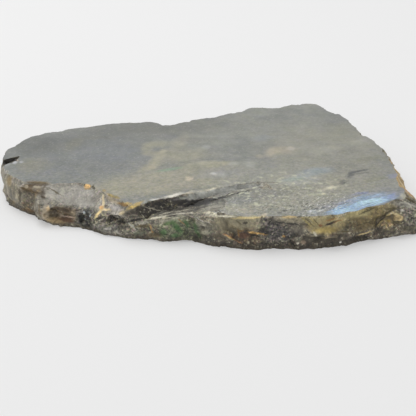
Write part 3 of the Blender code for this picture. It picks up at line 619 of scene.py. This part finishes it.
# Broken stone: the same feldspar split along its cleavage, grainy, stained brown and rust by iron in
# its cracks, with a green patch and pale crushed grains. The columns are those of the rim's marks.
SIDE_MARKS = (
    (BLACK, (-57.9, -3.4, 8.8), 2.3, 0.85, 22, 0.4, 0.95),  # notch, with its shade painted black
    ("#b5b3ac", (-57.0, -12.0, 9.2), 1.1, 0.8, 0, 0.5, 0.7),
    ("#8d7a55", (-55.8, -16.2, 7.9), 0.8, 1.4),  # west end, streaked from rim to foot
    ("#5b584e", (-55.3, -17.8, 4.6), 0.45, 1.9, 0, 0.5, 0.7),
    ("#a59c88", (-56.6, -14.5, 5.4), 0.35, 2.6, 3, 0.5, 0.7),
    ("#6a6456", (-54.2, -19.0, 6.0), 0.3, 2.2, -4, 0.5, 0.7),
    ("#a39a84", (-53.2, -20.0, 5.4), 0.4, 2.4, -3, 0.5, 0.7),
    ("#5e5643", (-52.4, -20.6, 5.0), 0.3, 2.4, -3),
    ("#a08f6e", (-55.0, -17.2, 1.8), 0.9, 0.6),
    ("#4a3917", (-50.6, -21.6, 7.8), 1.6, 0.34, -22, 0.4, 0.9),  # brown hollow: dark lines round a pale lens
    ("#433314", (-47.6, -22.8, 7.6), 2.0, 0.42, -18, 0.4, 0.95),
    ("#3f3014", (-45.2, -24.6, 7.2), 0.6, 1.6, 8, 0.4, 0.95),
    ("#4e3b19", (-47.4, -20.9, 8.8), 3.2, 0.36, 0, 0.4, 0.9),
    ("#554629", (-45.2, -21.2, 8.3), 0.35, 0.9, -20, 0.4, 0.8),
    ("#ada186", (-47.2, -21.2, 8.3), 1.05, 0.34, -8, 0.4, 0.8),
    ("#b0a48c", (-50.2, -20.8, 8.2), 0.5, 0.5),
    ("#5f573f", (-42.0, -23.3, 7.9), 2.3, 0.22, -30, 0.4, 0.9),
    ("#6f6a55", (-44.2, -22.4, 8.4), 0.9, 0.2, -35, 0.4, 0.8),
    ("#b0aa9c", (-43.0, -24.6, 7.0), 1.8, 0.5, -12, 0.5, 0.5),
    ("#bcbaa6", (-39.9, -23.2, 7.9), 0.6, 0.9, 20, 0.5, 0.6),
    ("#8d8777", (-47.0, -25.6, 4.2), 1.0, 1.6, 10),
    ("#5b4d35", (-45.8, -26.6, 3.6), 0.35, 1.9, 12),
    ("#75582a", (-50.0, -22.5, 1.6), 2.6, 0.45, -13, 0.4, 0.8),
    ("#9d907a", (-44.2, -29.0, 3.9), 0.9, 2.5, 0, 0.4, 0.9),  # tan rib
    ("#b39c78", (-43.4, -28.8, 5.2), 0.5, 0.8, 0, 0.4, 0.9),
    ("#6b5a40", (-44.4, -29.0, 3.2), 0.3, 0.5),
    ("#8a7b58", (-43.6, -29.6, 1.6), 1.6, 0.5, -10, 0.4, 0.9),
    ("#a38d68", (-41.2, -28.5, 1.4), 2.6, 0.85, -8, 0.5, 0.9),
    ("#a09a8c", (-45.4, -26.4, 6.2), 1.9, 0.8, 0, 0.6, 0.7),
    ("#645a48", (-46.8, -26.2, 3.0), 1.5, 1.0, 0, 0.5, 0.6),
    ("#a8a499", (-35.5, -27.2, 6.2), 4.5, 0.8, -8, 0.6, 0.55),
    ("#3f3220", (-41.0, -28.0, 5.0), 1.0, 0.5, -15, 0.5, 0.9),  # glassy hollow
    ("#463620", (-38.4, -28.3, 4.6), 1.6, 0.6, -5, 0.5, 0.9),
    ("#5f4128", (-38.6, -28.9, 1.8), 2.3, 0.55, -10, 0.4, 0.9),
    ("#bda491", (-38.1, -28.6, 2.6), 2.0, 0.22, -6, 0.4, 0.95),
    ("#8d7f6c", (-40.3, -28.6, 3.4), 1.3, 0.3, -25, 0.4, 0.8),
    ("#8f8068", (-36.3, -28.9, 4.0), 0.6, 1.1),
    ("#191a1b", (-34.4, -30.2, 2.2), 0.5, 1.3, 10, 0.5, 0.85),
    ("#23241f", (-32.6, -30.4, 4.6), 0.9, 0.35, -20),
    ("#23241f", (-33.0, -30.8, 1.0), 1.4, 0.4, -5),
    ("#a8b0b4", (-33.3, -29.9, 4.4), 0.3, 0.4, 30),
    ("#a8b0b4", (-31.6, -30.6, 4.0), 0.28, 0.45, -20),
    ("#9aa0a0", (-33.2, -30.6, 2.8), 0.28, 0.35),
    ("#20221f", (-31.4, -32.2, 1.6), 0.8, 1.1, 0, 0.5, 0.7),
    ("#dccaa0", (-28.0, -29.6, 7.6), 0.36, 2.0, 6, 0.4, 1.0),  # pale cross
    ("#e4cfa0", (-27.0, -32.0, 6.4), 1.6, 0.36, 0, 0.4, 1.0),
    ("#dfae68", (-28.4, -31.4, 6.6), 0.55, 0.6, 0, 0.5, 0.9),
    ("#dcc48c", (-29.1, -32.4, 5.4), 0.38, 1.5, -40, 0.4, 1.0),
    ("#5f543c", (-27.2, -31.4, 7.2), 0.7, 0.2, 0, 0.4, 0.9),
    ("#a9a4a2", (-24.6, -33.4, 7.4), 1.9, 0.7, -4, 0.5, 0.6),
    ("#a9a69c", (-23.4, -34.6, 6.0), 2.0, 0.75, -6, 0.6, 0.6),
    ("#383631", (-22.8, -36.0, 3.0), 1.7, 0.65, -10, 0.5, 0.7),
    ("#b3a27a", (-22.4, -36.2, 7.4), 0.9, 0.5, 30, 0.5, 0.7),
    ("#2f2c26", (-29.0, -33.2, 4.4), 0.9, 0.3, 20, 0.5, 0.85),  # dark specks under the ledge
    ("#2c2a25", (-25.8, -33.6, 4.0), 1.3, 0.28, 10, 0.5, 0.85),
    ("#34332f", (-22.6, -35.6, 4.4), 1.5, 0.4, -12, 0.5, 0.85),
    ("#8f8b80", (-24.2, -34.0, 4.8), 1.0, 0.28, 15, 0.5, 0.7),
    ("#8a8476", (-27.6, -34.2, 3.2), 1.2, 0.25, -15, 0.5, 0.7),
    ("#ccc7bc", (-26.5, -34.8, 1.9), 1.0, 0.36, 0, 0.5, 0.85),
    ("#bcb8aa", (-24.0, -35.6, 1.4), 1.2, 0.26, -35),
    ("#b5b5a8", (-20.2, -37.6, 4.4), 0.25, 0.9, 40),  # bulge, with pale strokes in a fan
    ("#bdbdb0", (-19.3, -37.8, 3.8), 0.22, 0.9, 35),
    ("#b0b0a2", (-18.4, -37.7, 4.2), 0.22, 0.8, 25),
    ("#a8a898", (-18.8, -37.9, 2.4), 0.9, 0.2, 30),
    ("#5d6450", (-17.8, -37.7, 2.0), 1.6, 0.6, 10, 0.5, 0.7),
    ("#6b6040", (-16.8, -37.7, 4.1), 2.0, 0.4, 3, 0.5, 0.9),
    ("#b8935e", (-14.6, -38.1, 3.7), 0.22, 0.9, 15, 0.4, 0.9),
    ("#c09558", (-14.3, -38.1, 2.5), 0.28, 0.28, 0, 0.4, 0.9),
    ("#5d5136", (-13.6, -38.4, 1.8), 2.4, 0.65, 3),
    ("#c3beae", (-16.7, -37.7, 5.2), 1.8, 0.36, 4, 0.4, 0.8),  # lip, from its west end
    ("#c2bca8", (-12.2, -37.9, 6.9), 3.4, 0.26, 12),
    ("#e2dcc8", (-6.8, -36.0, 7.1), 2.6, 0.27, 8, 0.5, 0.9),
    ("#cfc9b5", (-4.2, -36.0, 7.4), 1.4, 0.22, -15),
    ("#a6a291", (-9.6, -38.9, 6.5), 3.2, 0.7, 8, 0.6, 0.6),
    ("#4a463c", (-9.4, -37.6, 6.4), 1.6, 0.2, 16, 0.5, 0.7),
    ("#9b9482", (-13.6, -34.0, 7.3), 3.4, 0.18, -14),  # seams across the groove wall
    ("#7d7766", (-19.4, -36.8, 7.0), 1.3, 0.18, -10),
    ("#5e5a3c", (-10.0, -31.4, 7.6), 1.2, 0.24, 30, 0.5, 0.7),
    ("#6a6454", (-7.6, -30.8, 7.6), 0.9, 0.2, -25, 0.5, 0.7),
    ("#15120e", (-12.4, -32.8, 8.2), 1.6, 0.32, -8, 0.5, 0.9),
    ("#15120e", (-7.0, -30.2, 8.0), 1.9, 0.3, 4, 0.5, 0.9),
    (BLACK, (-18.6, -37.0, 5.6), 3.0, 0.36, 12, 0.5, 0.95),  # painted shade in the crevice
    (BLACK, (-11.5, -36.2, 7.0), 3.2, 0.26, 14),
    (BLACK, (-2.6, -29.4, 7.0), 4.0, 0.75, 12, 0.5, 0.95),
    ("#15120e", (-1.4, -32.2, 8.2), 3.2, 0.65, 8, 0.4, 0.95),
    ("#2a251e", (-6.8, -29.8, 7.8), 2.8, 0.5, 6, 0.4, 0.9),
    ("#17130f", (-4.5, -29.9, 7.5), 3.6, 0.6, 8, 0.4, 0.9),
    ("#2c2822", (-8.6, -33.9, 7.2), 4.6, 0.4, 9),
    ("#39352b", (-9.0, -35.1, 7.1), 4.4, 0.75, 9, 0.5, 0.9),
    ("#6d6756", (-5.6, -30.3, 7.3), 0.7, 0.13, 20),  # crumbs on the dark wall
    ("#75705f", (-3.2, -29.8, 7.3), 0.6, 0.12, -15),
    ("#7d7461", (-1.2, -29.4, 7.6), 0.6, 0.12, 25),
    ("#6a5f3c", (-8.2, -31.2, 7.2), 0.8, 0.14, 35),
    ("#817b6c", (-10.8, -31.9, 7.9), 0.7, 0.13, -25),
    ("#15120e", (-0.2, -31.3, 8.4), 2.6, 0.5, 10, 0.4, 0.9),
    ("#3a342a", (-19.6, -35.6, 7.6), 2.8, 0.8, 24, 0.4, 0.85),
    ("#8f8b80", (-26.6, -33.4, 4.7), 0.5, 0.2, 20),  # pale crumbs in the dark under the ledge
    ("#99958a", (-25.2, -33.7, 4.2), 0.45, 0.18, -20),
    ("#8a8578", (-27.8, -33.0, 4.3), 0.35, 0.22, 40),
    ("#a09b8e", (-23.9, -34.6, 4.3), 0.4, 0.2, 10),
    ("#857d66", (5.2, -42.0, 5.8), 1.2, 1.5, 0, 0.5, 0.6),
    ("#b3ad9a", (-10.4, -36.9, 7.6), 2.6, 0.16, 16),  # strokes along the lip
    ("#3a362d", (-8.8, -37.4, 7.1), 1.6, 0.22, 10),
    ("#35312a", (-4.5, -34.7, 7.0), 1.8, 0.22, 10),
    ("#bab4a2", (-6.4, -34.9, 7.4), 2.2, 0.15, 12),
    ("#3f3b32", (-1.4, -34.6, 8.1), 2.6, 0.42, 10, 0.5, 0.65),
    ("#38342c", (-1.6, -34.3, 7.7), 1.8, 0.2, 14),
    ("#b5b09f", (3.0, -35.8, 8.8), 2.2, 0.6, 8, 0.6, 0.5),
    ("#b5b09e", (0.6, -34.8, 8.3), 1.9, 0.14, 12, 0.5, 0.7),
    ("#4a463c", (2.8, -36.4, 8.8), 1.6, 0.16, 12, 0.5, 0.6),
    ("#4a6a36", (-9.4, -39.5, 6.0), 1.7, 0.55, 15, 0.6, 0.75),  # green strokes
    ("#3f7036", (-7.4, -39.1, 4.2), 0.7, 1.7, 40, 0.6, 0.75),
    ("#4c7842", (-11.2, -38.8, 2.8), 1.0, 0.9, 30, 0.6, 0.65),
    ("#3d6c34", (-2.2, -38.9, 3.6), 0.6, 1.9, 20, 0.6, 0.75),
    ("#45743e", (-5.0, -38.5, 5.2), 0.5, 1.1, 30, 0.6, 0.65),
    ("#4b7840", (-8.0, -39.4, 2.1), 1.3, 0.5, 0, 0.6, 0.65),
    ("#a5804f", (-6.3, -38.9, 5.9), 1.2, 0.14, -42, 0.5, 0.85),
    ("#9b978a", (-0.6, -39.6, 5.2), 1.8, 0.9, -20, 0.6, 0.55),
    ("#9c9784", (-0.6, -40.0, 4.2), 1.5, 1.2, 0, 0.6, 0.7),
    ("#a89c8a", (-10.4, -39.4, 4.6), 0.5, 0.45, 0, 0.5, 0.7),
    ("#3a3830", (-0.4, -39.9, 6.4), 1.5, 0.14, -28),  # thin folds
    ("#bdb8ac", (-0.9, -40.0, 6.8), 1.5, 0.14, -28, 0.5, 0.85),
    ("#b5b0a4", (0.9, -40.8, 6.6), 1.3, 0.12, -30),
    ("#aaa598", (-1.2, -39.6, 5.6), 1.2, 0.12, -25),
    ("#a8a394", (1.4, -41.0, 7.6), 1.2, 0.12, -20),
    ("#2c261a", (10.6, -43.3, 7.8), 0.6, 0.25, 0, 0.5, 0.9),
    ("#5f583a", (8.9, -42.8, 7.6), 1.1, 0.18, -35),
    ("#a69d84", (5.0, -42.4, 7.0), 0.3, 1.4, 25, 0.6, 0.5),
    ("#9e9478", (7.2, -41.9, 5.6), 2.6, 1.2, -10, 0.6, 0.85),
    ("#4f4534", (3.8, -42.6, 3.4), 2.6, 0.8, -12, 0.5, 0.75),
    ("#4a3c2c", (8.4, -43.0, 3.1), 2.0, 0.7, -20, 0.5, 0.65),
    (RUST, (6.3, -43.2, 3.7), 1.5, 0.22, -25, 0.4, 0.85),  # rust band
    ("#8f6a44", (8.6, -43.0, 2.3), 1.5, 0.2, -28, 0.4, 0.85),
    ("#9c8a5c", (6.6, -43.1, 3.2), 1.4, 0.16, -27, 0.4, 0.8),
    ("#2e2418", (7.8, -43.0, 2.9), 1.5, 0.18, -26, 0.5, 0.7),
    ("#5a4a38", (12.0, -42.6, 5.6), 1.7, 0.8, 0, 0.6, 0.6),
    ("#5c3d2a", (10.3, -42.7, 3.9), 1.6, 0.85, 0, 0.4, 0.9),
    ("#9d7a44", (8.8, -42.3, 4.4), 0.2, 1.0, 12, 0.5, 0.85),
    ("#a98148", (9.4, -42.4, 5.0), 0.9, 0.17, 0, 0.5, 0.85),
    ("#cfa868", (13.9, -43.3, 4.7), 2.6, 0.24, -8, 0.3, 1.0),  # orange sliver
    ("#3c3020", (13.4, -43.1, 3.9), 2.4, 0.25, -10, 0.5, 0.7),
    ("#b8af92", (11.4, -43.1, 1.9), 0.5, 0.36, -45, 0.4, 0.8),
    ("#b0a688", (12.6, -42.9, 2.2), 0.3, 0.28, 0, 0.4, 0.8),
    ("#a59b80", (13.2, -43.3, 1.0), 0.7, 0.18, -25, 0.4, 0.7),
    (BLACK, (15.9, -42.6, 8.4), 0.55, 0.42, 0, 0.4, 0.95),  # charcoal
    (CHARCOAL, (18.0, -42.2, 7.6), 2.4, 0.8, 0, 0.5, 0.6),
    ("#a39a82", (22.8, -41.8, 8.0), 4.2, 0.8, -3, 0.6, 0.8),
    ("#aca27b", (28.0, -41.8, 8.0), 2.8, 0.9, -3, 0.6, 0.75),
    ("#191713", (19.6, -41.9, 7.2), 1.5, 0.18, -6),
    ("#1c1a15", (23.4, -41.7, 6.6), 1.6, 0.2, -4),
    ("#1c1a15", (18.4, -42.8, 5.0), 1.4, 0.18, 4, 0.5, 0.7),
    ("#b08a52", (20.9, -42.6, 3.5), 0.42, 0.32, 0, 0.4, 0.85),
    ("#989080", (24.4, -42.9, 5.5), 2.2, 1.0, 0, 0.6, 0.55),
    ("#a5917c", (26.1, -43.4, 2.1), 0.65, 0.5),
    ("#b8b3a0", (24.6, -43.6, 1.9), 0.4, 0.3),
    ("#c9c4b0", (29.2, -43.2, 4.4), 0.8, 0.36, -55, 0.4, 0.9),
    ("#b3a468", (26.6, -41.9, 7.6), 2.3, 0.2, -42, 0.4, 0.9),  # golden shoulder
    ("#6e6238", (27.4, -41.9, 7.6), 2.3, 0.14, -44, 0.4, 0.8),
    ("#b5a66e", (28.6, -41.9, 7.6), 1.9, 0.2, -46, 0.4, 0.9),
    ("#6e6238", (29.4, -42.0, 7.4), 1.6, 0.14, -48, 0.4, 0.8),
    ("#b09b58", (32.0, -43.0, 5.5), 3.2, 0.8, 5, 0.5, 0.75),
    ("#2b2118", (33.6, -41.7, 7.0), 2.0, 0.28, 20, 0.4, 0.95),
    ("#8a5f38", (30.6, -42.4, 6.6), 0.55, 0.34, 0, 0.5, 0.85),
    ("#9a7038", (33.1, -41.6, 7.9), 1.5, 0.2, 15),
    ("#8d6a38", (35.4, -41.2, 7.4), 1.4, 0.18, 20),
    ("#ddd9cc", (36.1, -41.5, 1.2), 0.32, 0.3, 0, 0.4, 1.0),
    ("#a8a090", (38.4, -42.2, 4.4), 0.38, 0.32, 0, 0.4, 0.9),
    ("#8a8270", (27.6, -42.8, 3.1), 1.6, 0.8, 0, 0.5, 0.6),
    ("#4a4332", (31.6, -43.1, 2.6), 2.6, 0.2, 4, 0.5, 0.7),
    ("#493f2c", (34.6, -42.2, 3.8), 2.2, 0.18, 2, 0.5, 0.7),
    ("#8c7f64", (33.0, -42.8, 3.2), 2.4, 0.16, 3, 0.5, 0.7),
    ("#a3996f", (41.6, -38.4, 8.0), 3.0, 0.9, 14, 0.6, 0.8),
    ("#ada170", (39.4, -39.3, 8.4), 2.8, 0.75, 16, 0.6, 0.75),  # olive shoulder
    ("#877a52", (40.8, -39.0, 7.0), 1.6, 0.45, 14, 0.5, 0.7),
    ("#3f3a20", (43.2, -37.0, 8.2), 3.0, 0.22, 22, 0.5, 0.7),
    ("#857b58", (50.6, -33.6, 8.4), 1.7, 0.75, 8, 0.6, 0.75),
    ("#4b4322", (50.4, -34.4, 7.7), 1.7, 0.32, 5, 0.5, 0.85),
    ("#2a2412", (47.2, -36.2, 4.5), 2.1, 0.26, 45, 0.4, 0.9),
    ("#3f3819", (49.5, -35.0, 7.0), 1.5, 0.3, 25, 0.5, 0.9),
    ("#4b401f", (37.4, -42.0, 4.6), 1.7, 0.26),
    ("#4f4628", (42.6, -38.8, 5.4), 2.6, 0.18, 16, 0.5, 0.7),
    ("#5a4b28", (43.4, -38.8, 4.3), 4.2, 0.9, 14, 0.5, 0.65),
    ("#b3a070", (42.9, -40.0, 3.1), 2.3, 0.17, 16, 0.4, 0.9),
    ("#c0ac84", (50.3, -35.0, 5.2), 1.7, 1.0, 30, 0.5, 0.75),
    ("#b59c55", (49.7, -34.9, 4.3), 0.55, 0.45),  # tan facet and block
    ("#b5a36c", (48.2, -35.5, 4.9), 2.6, 0.16, 42, 0.4, 0.9),
    ("#bdb498", (50.6, -35.0, 6.0), 0.9, 0.22, -60, 0.4, 0.9),
    ("#c4ae80", (52.4, -35.1, 5.3), 1.3, 0.75, 0, 0.3, 0.95),
    ("#403823", (52.2, -35.1, 4.2), 1.3, 0.18, 0, 0.4, 0.8),
    ("#b5b0a5", (53.4, -34.0, 7.0), 0.5, 0.4),
    ("#48422f", (55.4, -35.4, 2.2), 2.6, 1.0, 6),
    ("#a09d93", (53.8, -32.8, 8.3), 3.2, 0.7, -5, 0.6, 0.7),
    ("#54481f", (56.4, -28.6, 7.6), 2.2, 0.4, -30, 0.5, 0.9),
    ("#6b5420", (57.6, -20.5, 6.4), 4.2, 0.28, -64),
    ("#cdbd90", (55.6, -18.5, 8.4), 2.6, 0.26, -62),
    ("#9a7c38", (55.2, -10.0, 7.6), 2.6, 0.3, -64),
    ("#bfa673", (55.8, -12.6, 7.8), 1.0, 0.36, -60),
    ("#ad843a", (54.8, -5.0, 8.6), 2.8, 0.34, -70),
    ("#b08e54", (54.5, -3.2, 8.3), 1.6, 0.9, 0, 0.6, 0.85),
    ("#c08f58", (56.2, -22.5, 8.0), 2.4, 0.35, -62),
    ("#8f6f42", (57.0, -18.5, 7.0), 2.0, 0.25, -66),
)
NORTH_MARKS = (  # the far side, which holds fewer and broader patches
    ("#7d6a4c", (-38.0, 22.5, 4.0), 3.4, 1.8, 10, 0.6, 0.6),
    ("#54504a", (-22.0, 27.0, 5.0), 5.0, 2.4, -8),
    ("#a47c4e", (-8.0, 25.5, 3.4), 2.2, 0.4, 20, 0.5, 0.75),
    ("#5f7a55", (6.0, 33.0, 4.2), 3.6, 2.0, 0, 0.5, 0.6),
    ("#9e9067", (20.0, 40.0, 5.4), 4.4, 1.8, -10),
    ("#d8d2c2", (27.0, 41.5, 6.4), 2.4, 0.4, 25),
    ("#4a463f", (35.0, 43.0, 4.0), 4.0, 2.6),
    ("#8b7b60", (45.5, 24.0, 4.4), 3.0, 3.0),
    ("#55534b", (-52.0, 14.0, 4.4), 3.0, 2.4),
)

# One material for each stretch of the sides, alike but for the marks that it holds.
STRETCHES = (
    ("west", -70.0, -21.0, SIDE_MARKS + RIM_MARKS),
    ("south", -21.0, 17.5, SIDE_MARKS + RIM_MARKS),
    ("east", 17.5, 70.0, SIDE_MARKS + RIM_MARKS),
    ("north", -70.0, 70.0, NORTH_MARKS),
)
NORTH_OF = 1.0 * MM  # the far side starts here, at both ends of the slab
OVERLAP = 2.5  # in mm: how far a mark can drift past the end of a stretch
sides = []
for stretch, west_end, east_end, marks in STRETCHES:
    rough = bpy.data.materials.new("labradorite_broken_" + stretch)
    rough.use_nodes = True
    tree = rough.node_tree
    place, wander, shiver = stone_places(tree)

    def near(row):
        return west_end - row[2] - OVERLAP < row[1][0] < east_end + row[2] + OVERLAP

    # The stone's own grey and brown, in clouds of 6 mm, and the zones.
    tone = drifting_colour(tree, place, 0.16, 4.0, 0.6, 0.15, "#6e685a", "#84806f")
    for zone in filter(near, ZONES if stretch != "north" else ()):
        tone = lay_rod(tree, tone, wander, *zone[:-1])

    # Its grain, the stronger the more the stone is broken: flecks of 0.4 mm that differ in brightness
    # and lean to gold or to lilac, and cleavage strokes that fall to the east.
    how_broken = add(tree, "Attribute", {}, attribute_name="broken")
    strokes = add(tree, "Mapping", {
        "Vector": shiver, "Rotation": (0.0, math.radians(32.0), 0.0), "Scale": (1.8, 1.2, 0.45),
    }, vector_type="TEXTURE")
    strokes = add(tree, "TexNoise", {
        "Vector": strokes.outputs[0], "Scale": 0.8, "Detail": 3.0, "Roughness": 0.65,
    })
    grain = add(tree, "MapRange", {
        "Value": strokes.outputs["Fac"], "From Min": 0.34, "From Max": 0.66, "To Min": 0.55, "To Max": 1.45,
    })
    flecks = add(tree, "TexVoronoi", {"Vector": place, "Scale": 2.3})
    chance = add(tree, "SeparateColor", {0: flecks.outputs["Color"]})
    tint = add(tree, "MapRange", {
        6: flecks.outputs["Color"], 7: (0.0, 0.0, 0.0), 8: (1.0, 1.0, 1.0),
        9: (0.92, 0.82, 0.80), 10: (1.08, 1.18, 1.20),
    }, data_type="FLOAT_VECTOR")
    shade = add(tree, "MapRange", {"Value": chance.outputs[0], "To Min": 0.3, "To Max": 1.7})
    shade = add(tree, "Math", {0: grain.outputs[0], 1: shade.outputs[0]}, operation="MULTIPLY")
    grain = add(tree, "VectorMath", {0: tint.outputs["Vector"], "Scale": shade.outputs[0]}, operation="SCALE")
    layers = {0: how_broken.outputs["Fac"], 6: tone, 7: grain.outputs[0]}
    tone = add(tree, "Mix", layers, data_type="RGBA", blend_type="MULTIPLY").outputs[2]

    # Here and there a fleck is a pale crumb or a dark pit.
    for channel, least, most, colour in ((1, 0.90, 0.93, "#b9b29c"), (2, 0.88, 0.91, "#191713")):
        share = add(tree, "MapRange", {
            "Value": chance.outputs[channel], "From Min": least, "From Max": most, "To Max": 0.65,
        })
        share = add(tree, "Math", {0: share.outputs[0], 1: how_broken.outputs["Fac"]}, operation="MULTIPLY")
        layers = {0: share.outputs[0], 6: tone, 7: linear(colour)}
        tone = add(tree, "Mix", layers, data_type="RGBA").outputs[2]
    for mark in filter(near, marks):
        tone = lay_rod(tree, tone, shiver, *mark)

    # Over all of it lies dust, with painted shade in the hollows and painted light on what stands out.
    dust = add(tree, "TexNoise", {"Vector": place, "Scale": 1.6, "Detail": 3.0, "Roughness": 0.7})
    dust_and_shade = add(tree, "MapRange", {
        "Value": dust.outputs["Fac"], "From Min": 0.32, "From Max": 0.68, "To Min": 0.8, "To Max": 1.2,
    })
    # Painted shade: the deeper a hollow the darker, and the more a point stands out the paler.
    for name, least, most in (("nook", -0.07, 0.09), ("bay", -0.45, 0.45)):
        depth = add(tree, "Attribute", {}, attribute_name=name)
        depth = add(tree, "MapRange", {
            "Value": depth.outputs["Fac"], "From Min": least, "From Max": most, "To Min": 1.3, "To Max": 0.6,
        })
        dust_and_shade = add(tree, "Math", {0: dust_and_shade.outputs[0], 1: depth.outputs[0]}, operation="MULTIPLY")
    tone = add(tree, "VectorMath", {0: tone, "Scale": dust_and_shade.outputs[0]}, operation="SCALE").outputs[0]

    # Painted contact shadow: a thin dark brown line runs along the foot and fades out 1.4 mm above it.
    height = add(tree, "SeparateXYZ", {0: shiver})
    foot = add(tree, "MapRange", {
        "Value": height.outputs[2], "From Min": 0.3, "From Max": 1.4, "To Min": 0.8, "To Max": 0.0,
    })
    tone = add(tree, "Mix", {0: foot.outputs[0], 6: tone, 7: linear("#352c1a")}, data_type="RGBA").outputs[2]
    relief = add(tree, "Math", {0: dust.outputs["Fac"], 1: shade.outputs[0]}, operation="MULTIPLY")
    relief = add(tree, "Math", {0: relief.outputs[0], 1: how_broken.outputs["Fac"]}, operation="MULTIPLY")
    finish(tree, tone, 0.5, relief.outputs[0], 0.8, 0.12)
    sides.append(rough)

# Sawn underside: the blade left shallow arcs 1.2 mm apart, which rub the grey stone a little paler
# where they stand out. It is duller than the ground face, and dusty.
SAW_PITCH, BLADE_RADIUS = 1.2, 150.0
WAVE_PERIOD = math.tau / 20.0  # of the wave texture at scale 1
sawn = bpy.data.materials.new("labradorite_sawn")
sawn.use_nodes = True
tree = sawn.node_tree
place = stone_places(tree)[0]
tone = drifting_colour(tree, place, 0.09, 5.0, 0.62, 0.12, "#656660", "#84837a")
grains = add(tree, "TexNoise", {"Vector": place, "Scale": 1.1, "Detail": 4.0, "Roughness": 0.75})
shade = add(tree, "MapRange", {
    "Value": grains.outputs["Fac"], "From Min": 0.3, "From Max": 0.7, "To Min": 0.7, "To Max": 1.3,
})
blade = add(tree, "Mapping", {"Vector": place, "Location": (0.0, -BLADE_RADIUS, 0.0)}, vector_type="TEXTURE")
arcs = add(tree, "TexWave", {
    "Vector": blade.outputs[0], "Scale": WAVE_PERIOD / SAW_PITCH, "Distortion": 1.2, "Detail": 2.0,
}, wave_type="RINGS", rings_direction="Z")
rubbed = add(tree, "MapRange", {"Value": arcs.outputs["Fac"], "To Min": 0.92, "To Max": 1.08})
shade = add(tree, "Math", {0: shade.outputs[0], 1: rubbed.outputs[0]}, operation="MULTIPLY")
tone = add(tree, "VectorMath", {0: tone, "Scale": shade.outputs[0]}, operation="SCALE").outputs[0]
relief = add(tree, "Math", {0: arcs.outputs["Fac"], 1: grains.outputs["Fac"]}, operation="ADD")
finish(tree, tone, 0.6, relief.outputs[0], 0.5, 0.05)

for material in (ground, sawn, *sides):
    slab.data.materials.append(material)
GROUND, SAWN, WEST, SOUTH, EAST, NORTH = range(6)
for face in slab.data.polygons:
    x = face.center.x / MM
    if on_ground_face(face):
        face.material_index = GROUND
    elif on_underside(face):
        face.material_index = SAWN
    elif face.center.y > NORTH_OF:
        face.material_index = NORTH
    else:
        face.material_index = WEST if x < STRETCHES[0][2] else SOUTH if x < STRETCHES[1][2] else EAST

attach(slab, "root")
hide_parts("labradorite_slice")


# The table it lies on: a plain pale surface, lit by a soft tent of light.
bpy.ops.mesh.primitive_plane_add(size=4.0)
table = bpy.context.object
table.name = "table"
pale = bpy.data.materials.new("matt_white_table")
pale.use_nodes = True
pale.node_tree.nodes["Principled BSDF"].inputs["Base Color"].default_value = (0.5, 0.5, 0.5, 1.0)
pale.node_tree.nodes["Principled BSDF"].inputs["Emission Color"].default_value = (1.0, 1.0, 1.0, 1.0)
pale.node_tree.nodes["Principled BSDF"].inputs["Emission Strength"].default_value = 0.35
pale.node_tree.nodes["Principled BSDF"].inputs["Roughness"].default_value = 0.9
table.data.materials.append(pale)

world = bpy.data.worlds.new("light_tent")
bpy.context.scene.world = world
world.use_nodes = True
world.node_tree.nodes["Background"].inputs["Color"].default_value = (1.0, 1.0, 1.0, 1.0)
world.node_tree.nodes["Background"].inputs["Strength"].default_value = 0.62

LAMP_TILT = (math.radians(-15.0), math.radians(-23.0), 0.0)
bpy.ops.object.light_add(type="AREA", location=(-0.3, 0.2, 0.7), rotation=LAMP_TILT)
lamp = bpy.context.object
lamp.name = "soft_box"
lamp.data.shape = "DISK"
lamp.data.size = 0.7
lamp.data.energy = 2.9

# The camera looks down 25 degrees from the south.
AIM, DISTANCE, ELEVATION, HALF_VIEW = (0.00076, -0.01734), 0.338, math.radians(25.0), math.radians(10.0)
bpy.ops.object.camera_add(
    location=(AIM[0], AIM[1] - DISTANCE * math.cos(ELEVATION), DISTANCE * math.sin(ELEVATION)),
    rotation=(math.radians(90.0) - ELEVATION, 0.0, 0.0),
)
camera = bpy.context.object
camera.data.sensor_width = 36.0
camera.data.lens = camera.data.sensor_width / 2.0 / math.tan(HALF_VIEW)
bpy.context.scene.camera = camera
bpy.context.scene.view_settings.view_transform = "Standard"
